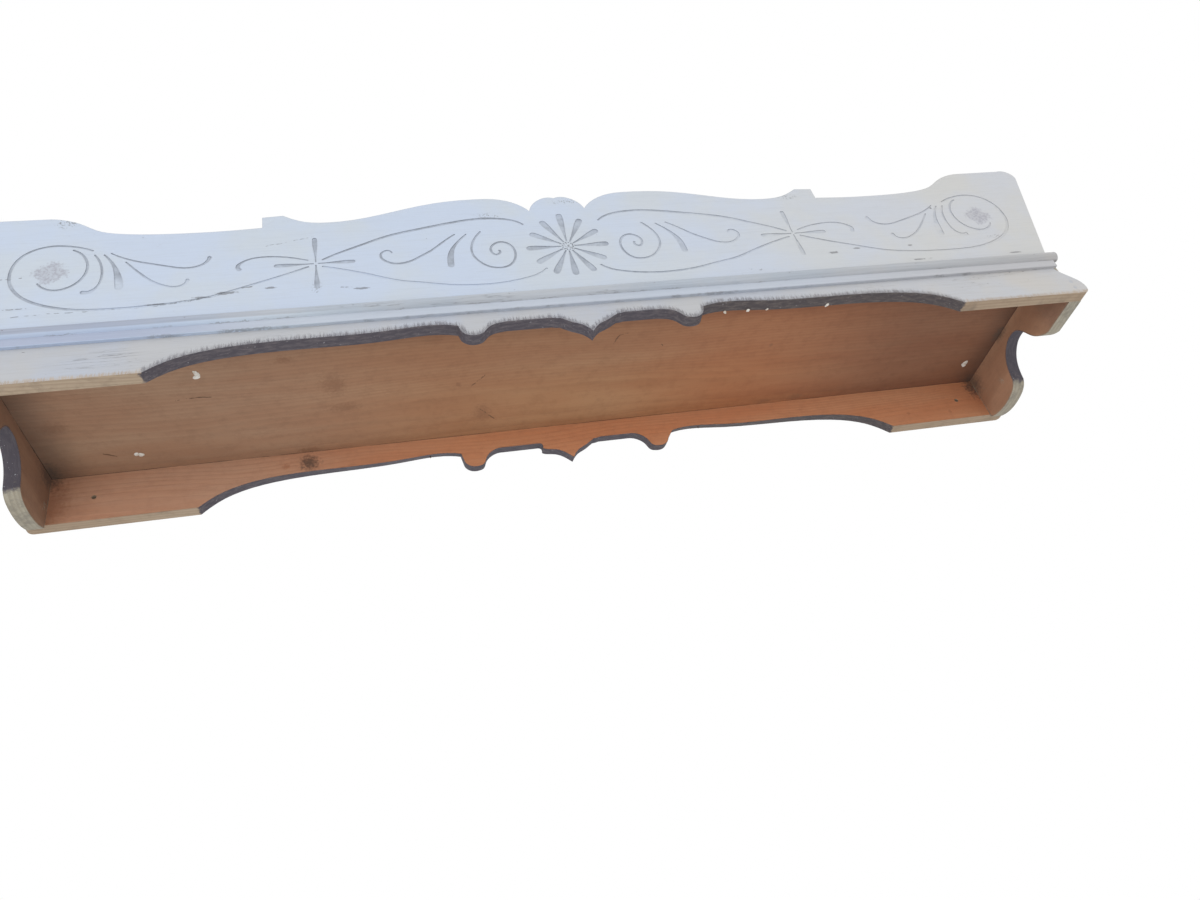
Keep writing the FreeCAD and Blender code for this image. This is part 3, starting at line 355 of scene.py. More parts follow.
    def build_scratch(self) -> bpy.types.NodeTree:
        """Builds one long crack or scratch that wanders and breaks up.

        Returns:
            A group with the line's two ends and its half width as inputs.
        """
        w, given, out = new_group(
            "long_scratch",
            {"Where": "Vector", "From": "Vector", "To": "Vector", "Half Width": "Float"},
            {"Mark": "Float"},
        )
        wander = w.node("ShaderNodeTexNoise", {"Vector": given.outputs["Where"], "Scale": 60.0})
        moved = w.vector("SUBTRACT", wander.outputs["Color"], (0.5, 0.5, 0.5)).outputs[0]
        moved = w.vector("MULTIPLY", moved, (0.006, 0.006, 0.006)).outputs[0]
        here = w.vector("ADD", given.outputs["Where"], moved).outputs[0]
        run = w.vector("SUBTRACT", given.outputs["To"], given.outputs["From"]).outputs[0]
        back = w.vector("SUBTRACT", here, given.outputs["From"]).outputs[0]
        part = w.math("DIVIDE", w.vector("DOT_PRODUCT", back, run).outputs["Value"],
                      w.vector("DOT_PRODUCT", run, run).outputs["Value"], clamp=True)
        on_line = w.node("ShaderNodeVectorMath", {0: run, "Scale": part}, operation="SCALE")
        reach = w.vector("DISTANCE", back, on_line.outputs[0]).outputs["Value"]
        wide = w.times(given.outputs["Half Width"],
                      w.step(w.noise(given.outputs["Where"], 190.0, 2.0, 0.7), 0.30, 0.62))
        wide = w.plus(wide, 0.00001)
        w.feed(out.inputs["Mark"], w.rest(w.step(w.math("DIVIDE", reach, wide), 0.5, 1.1)))
        return w.tree

    def build_rosette(self) -> bpy.types.NodeTree:
        """Builds the soft four-lobed flower that is dabbed inside an end volute.

        Returns:
            A group that reads coordinates from the flower's middle, flat in x and z.
        """
        w, given, out = new_group(
            "dabbed_rosette", {"Where": "Vector", "Radius": "Float"}, {"Mark": "Float"}
        )
        x, _, z = w.split(given.outputs["Where"])
        reach = w.math("DIVIDE", w.math("SQRT", w.plus(w.times(x, x), w.times(z, z))),
                       given.outputs["Radius"])
        angle = w.math("ARCTAN2", z, x)
        lobes = w.math("COSINE", w.plus(w.times(angle, 4.0), 0.7))
        dabs = w.minus(w.noise(given.outputs["Where"], 190.0, 3.0, 0.7), 0.5)
        limit = w.plus(w.plus(0.74, w.times(lobes, 0.08)), w.times(dabs, 1.3))
        mark = w.rest(w.step(w.minus(reach, limit), -0.18, 0.12))
        w.feed(out.inputs["Mark"], mark)
        return w.tree


@dataclass(frozen=True)
class Spot:
    """One oval mark on a flat face: its middle and half sizes in metres."""

    middle: Point
    half: Point
    soft: float = 0.35


@dataclass(frozen=True)
class Scratch:
    """One long crack: its two ends and half width in metres."""

    start: Point
    end: Point
    half_width: float = 0.0009


@dataclass(frozen=True)
class Face:
    """A flat face of a board: the axis that it looks along, its level, and how far a mark reaches in."""

    axis: int
    level: float
    reach: float = 0.01

    def point(self, along: float, across: float, deep: float) -> Point:
        """Sets a depth beside two numbers on the face."""
        return (along, deep, across) if self.axis == 1 else (along, across, deep)

    def spots(self, *rows: Sequence[float]) -> tuple[Spot, ...]:
        """Lays oval marks.

        Args:
            *rows: the middle along and across, the two half sizes and the softness of each.

        Returns:
            The marks.
        """
        return tuple(Spot(self.point(along, across, self.level), self.point(long, wide, self.reach), soft)
                     for along, across, long, wide, soft in rows)

    def scratches(self, *rows: Sequence[float]) -> tuple[Scratch, ...]:
        """Lays cracks.

        Args:
            *rows: the start along and across, the end along and across, and the half width of each.

        Returns:
            The cracks.
        """
        return tuple(Scratch(self.point(*row[0:2], self.level), self.point(*row[2:4], self.level), row[4])
                     for row in rows)


@dataclass(frozen=True)
class Tint:
    """A slow change of colour: its axis, where it starts and is full, its factors and its share."""

    axis: int
    span: Span
    factors: Colour
    share: float = 1.0


@dataclass(frozen=True)
class PineTone:
    """The colours of bare pine, from its early wood to its stains."""

    light: Colour
    warm: Colour
    dark: Colour
    stain: Colour = (0.085, 0.045, 0.028)
    pith: float = 0.0
    seed: float = 0.0
    rings: float = 0.15


@dataclass(frozen=True)
class PaintTone:
    """The colours of an old brushed paint and of what shows where it is gone."""

    coat: Colour
    yellowed: Colour
    grimy: Colour
    under: Colour = (0.10, 0.095, 0.10)
    chipping: float = 0.25
    cracking: float = 0.5


class Finish:
    """A material in the making: a Principled shader, the coordinates and the shared effects."""

    def __init__(self, name: str, effects: SharedEffects) -> None:
        """Starts the material.

        Args:
            name: what the material is called.
            effects: the shared node groups.
        """
        self.material = bpy.data.materials.new(name)
        self.material.use_nodes = True
        self.w = Wiring(self.material.node_tree)
        self.effects = effects
        self.shader = self.material.node_tree.nodes["Principled BSDF"]
        self.where = self.w.node("ShaderNodeTexCoord").outputs["Object"]
        self.x, self.y, self.z = self.w.split(self.where)
        geometry = self.w.node("ShaderNodeNewGeometry")
        self.facing = self.w.split(geometry.outputs["Normal"])

    def faces(self, axis: int, sign: float, least: float = 0.6) -> Socket:
        """Masks the surface that looks one way.

        Args:
            axis: 0, 1 or 2 for x, y or z.
            sign: 1 or -1.
            least: how squarely it must look that way.

        Returns:
            The mask.
        """
        toward = self.w.times(self.facing[axis], sign)
        return self.w.step(toward, least - 0.1, least + 0.1)

    def spots(self, marks: Sequence[Spot]) -> Socket:
        """Masks a handful of oval marks.

        Args:
            marks: the marks.

        Returns:
            One mask for all of them.
        """
        return self.w.most([
            self.w.use(self.effects.spot, Where=self.where, Middle=mark.middle, Half_Size=mark.half,
                       Softness=mark.soft).outputs["Mark"]
            for mark in marks
        ])

    def scratches(self, marks: Sequence[Scratch]) -> Socket:
        """Masks a handful of cracks.

        Args:
            marks: the cracks.

        Returns:
            One mask for all of them.
        """
        return self.w.most([
            self.w.use(self.effects.scratch, Where=self.where, From=mark.start, To=mark.end,
                       Half_Width=mark.half_width).outputs["Mark"]
            for mark in marks
        ])

    def tinted(self, colour: Socket, tints: Sequence[Tint]) -> Socket:
        """Shifts a colour slowly from place to place.

        Args:
            colour: the colour.
            tints: the changes, in turn.

        Returns:
            The shifted colour.
        """
        for tint in tints:
            mask = self.w.step((self.x, self.y, self.z)[tint.axis], *tint.span)
            colour = self.w.tint(self.w.times(mask, tint.share), colour, tint.factors)
        return colour

    def seams(self, lines: Sequence[tuple[Socket, float, float]], core: float) -> Socket:
        """Masks the thin lines where two surfaces meet.

        Args:
            lines: the coordinate that each one lies on, its level and its half width.
            core: the share of the half width that is fully covered.

        Returns:
            One mask for all of them.
        """
        w = self.w
        return w.most([w.rest(w.step(w.math("ABSOLUTE", w.minus(place, level)), core * half, half))
                       for place, level, half in lines])

    def along(self, grain: Grain) -> Socket:
        """Turns the coordinates so that x runs along the grain, y across the board and z through it."""
        axes = {"X": self.x, "Y": self.y, "Z": self.z}
        return self.w.joined(*[axes[name] for name in grain.value])

    def pine(self, tone: PineTone, grain: Grain) -> tuple[Socket, Socket]:
        """Lays bare pine.

        Args:
            tone: its colours.
            grain: how the board was sawn.

        Returns:
            Its colour and its height.
        """
        w = self.w
        figure = w.use(self.effects.pine, Where=self.along(grain), Pith=tone.pith, Seed=tone.seed)
        colour = w.mix(w.step(figure.outputs["Clouds"], 0.32, 0.68), tone.light, tone.warm)
        colour = w.mix(w.times(figure.outputs["Rings"], tone.rings), colour, tone.dark)
        colour = w.mix(w.times(w.step(figure.outputs["Fibre"], 0.45, 0.75), 0.22), colour, tone.dark)
        mottled = w.step(w.noise(self.where, 70.0, 4.0, 0.7), 0.44, 0.70)
        colour = w.mix(w.times(mottled, 0.24), colour, tone.dark)
        colour = w.mix(w.times(figure.outputs["Knots"], 0.7), colour, tone.stain)
        return colour, figure.outputs["Height"]

    def paint(self, tone: PaintTone, seed: float, wide: Grain = Grain.LONG_X_WIDE_Z
              ) -> tuple[Socket, Socket, Socket]:
        """Lays old brushed paint.

        Args:
            tone: its colours and how chipped it is.
            seed: shifts the pattern.
            wide: the way the brush ran.

        Returns:
            Its colour, its height, and the mask of where it is gone.
        """
        w = self.w
        worn = w.use(self.effects.wear, Where=self.along(wide), Chipping=tone.chipping, Seed=seed)
        colour = w.mix(w.step(worn.outputs["Blotches"], 0.38, 0.66), tone.coat, tone.yellowed)
        colour = w.mix(w.times(w.step(worn.outputs["Brush"], 0.42, 0.8), 0.30), colour, tone.grimy)
        gone = w.math("MAXIMUM", worn.outputs["Chips"], w.times(worn.outputs["Cracks"], tone.cracking))
        colour = w.mix(gone, colour, tone.under)
        return colour, w.minus(w.times(worn.outputs["Brush"], 0.25), gone), gone

    def close(self, colour: Socket, rough: Feed, height: Socket,
              depth: float) -> bpy.types.Material:
        """Joins the layers to the shader.

        Args:
            colour: the base colour.
            rough: the roughness.
            height: the relief, 0 to 1.
            depth: the relief's depth in metres.

        Returns:
            The finished material.
        """
        bump = self.w.node("ShaderNodeBump", {"Height": height, "Distance": depth, "Strength": 1.0})
        self.w.feed(self.shader.inputs["Base Color"], colour)
        self.w.feed(self.shader.inputs["Roughness"], rough)
        self.w.feed(self.shader.inputs["Normal"], bump.outputs["Normal"])
        self.shader.inputs["Specular IOR Level"].default_value = 0.3
        return self.material


CREST_FACE = Face(1, -0.264)
SHELF_UNDERSIDE = Face(2, 0.034, 0.02)
REAR_INSIDE = Face(1, -0.016, 0.02)
FACE_PAINT = PaintTone((0.445, 0.505, 0.61), (0.46, 0.505, 0.56), (0.375, 0.415, 0.475), chipping=0.02,
                       cracking=0.05)
APRON_PAINT = PaintTone((0.39, 0.415, 0.47), (0.41, 0.415, 0.43), (0.33, 0.325, 0.325), chipping=0.12)
MOULDING_PAINT = PaintTone((0.335, 0.375, 0.43), (0.37, 0.39, 0.42), (0.275, 0.295, 0.325), chipping=0.15)
SHELF_TOP_PAINT = PaintTone((0.50, 0.52, 0.55), (0.50, 0.49, 0.46), (0.36, 0.34, 0.31),
                            under=(0.25, 0.16, 0.10), chipping=0.9)
SHELF_PINE = PineTone((0.345, 0.19, 0.105), (0.31, 0.152, 0.080), (0.19, 0.092, 0.050), pith=-0.10, seed=3.1)
# Painted light: these tones are raised well above the shelf's pine to stand for the light that falls on the
# rear apron's inner face.
REAR_PINE_LIT = PineTone((0.57, 0.275, 0.145), (0.54, 0.225, 0.108), (0.36, 0.150, 0.078), pith=-0.07, seed=7.7)
FRONT_PINE = PineTone((0.30, 0.165, 0.10), (0.26, 0.12, 0.065), (0.15, 0.070, 0.040), pith=0.12, seed=1.4)
# Painted light: these tones are raised to stand for the light that falls on the brackets' inner faces.
BRACKET_PINE_LIT = PineTone((0.44, 0.255, 0.160), (0.37, 0.20, 0.12), (0.23, 0.120, 0.075), pith=0.03, seed=5.2)
END_WOOD = PineTone((0.42, 0.33, 0.24), (0.36, 0.27, 0.19), (0.22, 0.155, 0.10),
                    stain=(0.12, 0.09, 0.065), seed=2.6, rings=0.32)
EDGE_DARK: Colour = (0.070, 0.062, 0.076)
EDGE_DARK_WORN: Colour = (0.125, 0.110, 0.120)
GROOVE: Colour = (0.255, 0.28, 0.325)
GROOVE_FADED: Colour = (0.32, 0.355, 0.415)
# Grime and painted shade for the corners.
CORNER_DIRT_AND_SHADE: Colour = (0.080, 0.064, 0.052)
FLOWER_MAUVE: Colour = (0.27, 0.265, 0.31)
GRIT: Colour = (0.17, 0.175, 0.18)
RIM_GRIME: Colour = (0.30, 0.285, 0.28)
FILLET_GREY: Colour = (0.42, 0.46, 0.53)
STREAK_PALE: Colour = (0.48, 0.52, 0.59)
# Painted light for the moulding's downward faces.
PAINTED_LIGHT_BLUE: Colour = (0.56, 0.66, 0.76)
QUIRK_DIRT_AND_SHADE: Colour = (0.17, 0.165, 0.17)
EDGE_FLAKE: Colour = (0.42, 0.42, 0.44)
CUT_FLAKE: Colour = (0.46, 0.47, 0.50)
FOOT_GRIME: Colour = (0.17, 0.14, 0.11)
HEEL_GRIME: Colour = (0.19, 0.175, 0.15)
END_SHADE: Colour = (0.085, 0.055, 0.042)
GAP_DARK: Colour = (0.045, 0.027, 0.020)
WALL_DUST: Colour = (0.20, 0.18, 0.16)
IRON: Colour = (0.075, 0.070, 0.068)
RUST: Colour = (0.19, 0.075, 0.035)
RUST_BLEEDING: Colour = (0.24, 0.17, 0.12)
DRIED_PAINT: Colour = (0.72, 0.70, 0.66)
DRIED_PAINT_DULL: Colour = (0.52, 0.46, 0.38)


@dataclass
class CarvedFront:
    """The crest board, the apron under it and the moulding over their seam."""

    effects: SharedEffects
    face: float = -0.264
    groove_depth: float = 0.0008
    scallop_end: float = 0.480
    feet: float = -0.034
    volute: Point = (0.583, -0.264, 0.128)
    rosette_radius: float = 0.022
    bead_top: float = 0.041
    bead_low: float = 0.025
    fillet_low: float = 0.014
    stem_level: float = 0.0845
    stem_slope: float = 0.33
    cross: float = -0.290
    daisy: float = -0.036
    flower_ring: Span = (0.090, 0.115)
    # Painted light: the face stays cooler and bluer at the left end and turns warmer towards the right, as if
    # a cool light fell from the left.
    crest_painted_light: tuple[Tint, ...] = (Tint(0, (-0.10, 0.65), (1.08, 0.95, 0.80), 0.75),)
    apron_tints: tuple[Tint, ...] = (Tint(0, (0.0, 0.60), (1.13, 1.08, 1.0)),)
    moulding_tints: tuple[Tint, ...] = (
        Tint(0, (0.15, 0.60), (1.02, 0.93, 0.84)),
        Tint(0, (-0.30, -0.52), (0.80, 0.82, 0.92)),
    )
    crest_chips: tuple[Spot, ...] = CREST_FACE.spots(
        (-0.398, 0.077, 0.014, 0.0024, 0.4),
        (-0.425, 0.0725, 0.012, 0.0012, 0.4),
        (-0.470, 0.0665, 0.020, 0.0010, 0.5),
        (-0.377, 0.084, 0.007, 0.0016, 0.3),
        (-0.352, 0.080, 0.007, 0.0018, 0.3),
        (-0.252, 0.069, 0.009, 0.0018, 0.3),
        (0.342, 0.074, 0.008, 0.0024, 0.3),
        (0.378, 0.079, 0.005, 0.0016, 0.3),
        (0.455, 0.078, 0.004, 0.0015, 0.3),
        (0.455, 0.050, 0.010, 0.0014, 0.3),
        (0.600, 0.050, 0.009, 0.0014, 0.3),
        (0.520, 0.150, 0.002, 0.0020, 0.3),
    )
    crest_specks: tuple[Spot, ...] = CREST_FACE.spots(
        (-0.574, 0.212, 0.014, 0.010, 0.5),
        (-0.090, 0.185, 0.020, 0.008, 0.8),
        (-0.302, 0.078, 0.008, 0.014, 0.8),
        (-0.640, 0.110, 0.006, 0.016, 0.8),
        (0.000, 0.119, 0.011, 0.011, 0.6),
        (0.586, 0.084, 0.012, 0.005, 0.7),
        (0.015, 0.205, 0.022, 0.006, 0.8),
        (0.320, 0.190, 0.020, 0.008, 0.9),
    )
    crest_cracks: tuple[Scratch, ...] = CREST_FACE.scratches(
        (-0.356, 0.152, -0.300, 0.165, 0.0006),
        (-0.470, 0.064, -0.395, 0.076, 0.0015),
        (-0.620, 0.062, -0.470, 0.063, 0.0007),
        (-0.645, 0.122, -0.612, 0.122, 0.0010),
        (-0.645, 0.072, -0.600, 0.074, 0.0010),
        (-0.275, 0.073, -0.240, 0.069, 0.0010),
        (0.440, 0.049, 0.475, 0.051, 0.0006),
    )

    def dress_crest(self, crest: bpy.types.Object) -> None:
        """Paints the crest board, its grooves and its bare back.

        Args:
            crest: the crest board.
        """
        made = Finish("crest_paint", self.effects)
        w = made.w
        coat, relief, gone = made.paint(FACE_PAINT, 2.0)
        # Painted light: cooler at the left end, warmer towards the right.
        coat = made.tinted(coat, self.crest_painted_light)
        grains = w.step(w.noise(made.where, 480.0, 2.0, 0.5), 0.55, 0.60)
        specks = w.times(made.spots(self.crest_specks), grains)
        fallen = w.most([made.spots(self.crest_chips), made.scratches(self.crest_cracks)])
        coat = w.mix(w.times(fallen, 0.62), coat, FACE_PAINT.under)
        coat = w.mix(w.times(specks, 0.70), coat, GRIT)
        depth = w.step(made.y, self.face + 0.15 * self.groove_depth, self.face + 0.6 * self.groove_depth)
        faded = w.step(w.noise(made.where, 60.0, 4.0, 0.7), 0.38, 0.64)
        coat = w.mix(w.times(depth, self.groove_strength(made)), coat, w.mix(faded, GROOVE, GROOVE_FADED))
        flowers = []
        for side in (-1.0, 1.0):
            middle = (side * self.volute[0], self.volute[1], self.volute[2])
            away = w.vector("SUBTRACT", made.where, middle).outputs[0]
            flower = w.use(self.effects.rosette, Where=away, Radius=self.rosette_radius)
            flowers.append(flower.outputs["Mark"])
        dabbed = w.plus(0.30, w.times(w.step(w.noise(made.where, 380.0, 2.0, 0.6), 0.42, 0.60), 0.40))
        coat = w.mix(w.times(w.most(flowers), dabbed), coat, FLOWER_MAUVE)
        rim = w.use(self.effects.rim, Where=made.where, Width=0.0022, Ragged=0.9)
        above = w.step(made.z, 0.060, 0.075)
        outer = w.times(w.times(rim.outputs["Rim"], above), w.rest(depth))
        coat = w.mix(w.times(outer, 0.38), coat, RIM_GRIME)
        bare, wood_relief = made.pine(FRONT_PINE, Grain.LONG_X_WIDE_Z)
        back = made.faces(1, 1.0)
        colour = w.mix(back, coat, bare)
        height = w.mix_value(back, w.minus(relief, fallen), wood_relief)
        rough = w.mix_value(back, w.mix_value(gone, 0.52, 0.85), 0.78)
        crest.material_slots[0].material = made.close(colour, rough, height, 0.00022)

    def groove_strength(self, made: Finish) -> Socket:
        """Works out how strongly a groove still shows: paint has filled some of them.

        Args:
            made: the crest's finish.

        Returns:
            A number from 0 to 1.
        """
        w = made.w
        low = w.rest(w.step(made.z, *self.flower_ring))
        buried = w.times(w.step(made.x, 0.33, 0.36), low)
        rising = w.times(w.math("MAXIMUM", w.minus(-0.200, made.x), 0.0), self.stem_slope)
        below = w.rest(w.step(w.minus(made.z, rising), self.stem_level - 0.001, self.stem_level + 0.001))
        between = w.times(w.step(made.x, self.cross - 0.006, self.cross),
                          w.step(made.x, self.daisy + 0.006, self.daisy))
        outer = w.times(w.step(made.x, -0.31, -0.33), w.step(made.x, -0.58, -0.50))
        outer = w.times(outer, w.rest(w.step(made.z, 0.10, 0.12)))
        filled = w.times(w.step(made.x, 0.02, 0.22), 0.58)
        for lost, share in ((buried, 1.0), (w.times(below, between), 0.94), (outer, 0.72)):
            filled = w.math("MAXIMUM", filled, w.times(lost, share))
        broken = w.times(w.step(w.noise(made.where, 55.0, 4.0, 0.7), 0.42, 0.62), 0.40)
        return w.minus(w.minus(0.90, filled), broken, clamp=True)

    def dress_apron(self, apron: bpy.types.Object) -> None:
        """Paints the front apron: pale face, dark scallops, bare feet and a bare back.

        Args:
            apron: the front apron.
        """
        made = Finish("apron_paint", self.effects)
        w = made.w
        coat, relief, gone = made.paint(APRON_PAINT, 11.0)
        coat = made.tinted(coat, self.apron_tints)
        front, back = made.faces(1, -1.0), made.faces(1, 1.0)
        edge_colour, edge_relief = scallop_edge(made, self.scallop_end)
        rim = w.use(self.effects.rim, Where=made.where, Width=0.0150, Ragged=1.0)
        hatch = w.noise(w.stretched(made.where, (460.0, 60.0, 60.0)), 1.0, 3.0, 0.65)
        drawn = w.plus(0.7, w.times(w.step(hatch, 0.47, 0.60), 3.4))
        strokes = w.times(rim.outputs["Near"], drawn)
        beyond = w.step(w.math("ABSOLUTE", made.x), self.scallop_end + 0.004, self.scallop_end + 0.012)
        limit = w.mix_value(beyond, self.feet + 0.040, self.feet + 0.003)
        low = w.rest(w.step(w.minus(made.z, limit), 0.0, 0.004))
        lapped = w.times(w.step(strokes, 0.42, 0.58), low)
        face = w.mix(w.times(lapped, 0.9), coat, edge_colour)
        bare, wood_relief = made.pine(FRONT_PINE, Grain.LONG_X_WIDE_Z)
        colour = w.mix(front, edge_colour, face)
        colour = w.mix(back, colour, bare)
        height = w.mix_value(front, edge_relief, relief)
        height = w.mix_value(back, height, wood_relief)
        rough = w.mix_value(front, 0.75, w.mix_value(gone, 0.55, 0.85))
        apron.material_slots[0].material = made.close(colour, rough, height, 0.00025)

    def dress_moulding(self, moulding: bpy.types.Object) -> None:
        """Paints the moulding: a greyer bead, a paler fillet, painted light on its downward faces at the
        left, and grime with painted shade in the quirks.

        Args:
            moulding: the moulding.
        """
        made = Finish("moulding_paint", self.effects)
        w = made.w
        coat, relief, gone = made.paint(MOULDING_PAINT, 5.0)
        below = w.rest(w.step(made.z, self.bead_low - 0.001, self.bead_low + 0.001))
        streaks = w.step(w.noise(w.stretched(made.where, (5.0, 330.0, 330.0)), 1.0, 3.0, 0.6), 0.45, 0.62)
        coat = w.mix(w.times(below, 0.75), coat, FILLET_GREY)
        coat = w.mix(w.times(streaks, 0.22), coat, STREAK_PALE)
        # Painted light: on the left part, the faces that look down are made paler and bluer to cancel their
        # shade.
        lit_underside = w.times(made.faces(2, -1.0, 0.5), w.step(made.x, -0.18, -0.45))
        coat = w.mix(w.times(lit_underside, 0.60), coat, PAINTED_LIGHT_BLUE)
        coat = made.tinted(coat, self.moulding_tints)
        torn = w.times(w.minus(w.noise(made.where, 240.0, 3.0, 0.7), 0.5), 0.004)
        height_here = w.plus(made.z, torn)
        quirks = made.seams([(height_here, self.bead_top, 0.0008), (height_here, self.bead_low, 0.0006),
                             (height_here, self.fillet_low, 0.0007)], 0.3)
        # Grime and painted shade: the quirks along the bead and the fillet are darkened in broken patches.
        quirk_dirt_and_shade = w.times(quirks, w.step(w.noise(made.where, 22.0, 3.0, 0.7), 0.50, 0.62))
        colour = w.mix(w.times(quirk_dirt_and_shade, 0.5), coat, QUIRK_DIRT_AND_SHADE)
        rough = w.mix_value(gone, 0.48, 0.85)
        moulding.material_slots[0].material = made.close(colour, rough, relief, 0.00022)


def scallop_edge(made: Finish, scallop_end: float) -> tuple[Socket, Socket]:
    """Lays the finish of a scalloped lower edge: dark paint inwards, bare aged wood on the feet.

    Args:
        made: the finish that it goes into.
        scallop_end: where the dark paint stops, from the middle.

    Returns:
        Its colour and its height.
    """
    w = made.w
    shaken = w.times(w.minus(w.noise(made.where, 130.0, 3.0, 0.7), 0.5), 0.012)
    out = w.plus(w.math("ABSOLUTE", made.x), shaken)
    foot = w.step(out, scallop_end - 0.001, scallop_end + 0.003)
    drag = w.step(w.noise(w.stretched(made.where, (70.0, 260.0, 260.0)), 1.0, 4.0, 0.7), 0.40, 0.72)
    dark = w.mix(drag, EDGE_DARK, EDGE_DARK_WORN)
    dark = w.tint(w.step(made.x, 0.05, 0.20), dark, (0.96, 0.92, 0.80))
    flake = w.step(w.noise(made.where, 330.0, 2.0, 0.6), 0.70, 0.73)
    dark = w.mix(w.times(flake, 0.55), dark, EDGE_FLAKE)
    bare, relief = made.pine(END_WOOD, Grain.LONG_X_WIDE_Y)
    grime = w.step(w.noise(made.where, 35.0, 4.0, 0.65), 0.50, 0.78)
    bare = w.mix(w.times(grime, 0.5), bare, FOOT_GRIME)
    return w.mix(foot, dark, bare), w.mix_value(foot, w.times(drag, 0.6), relief)


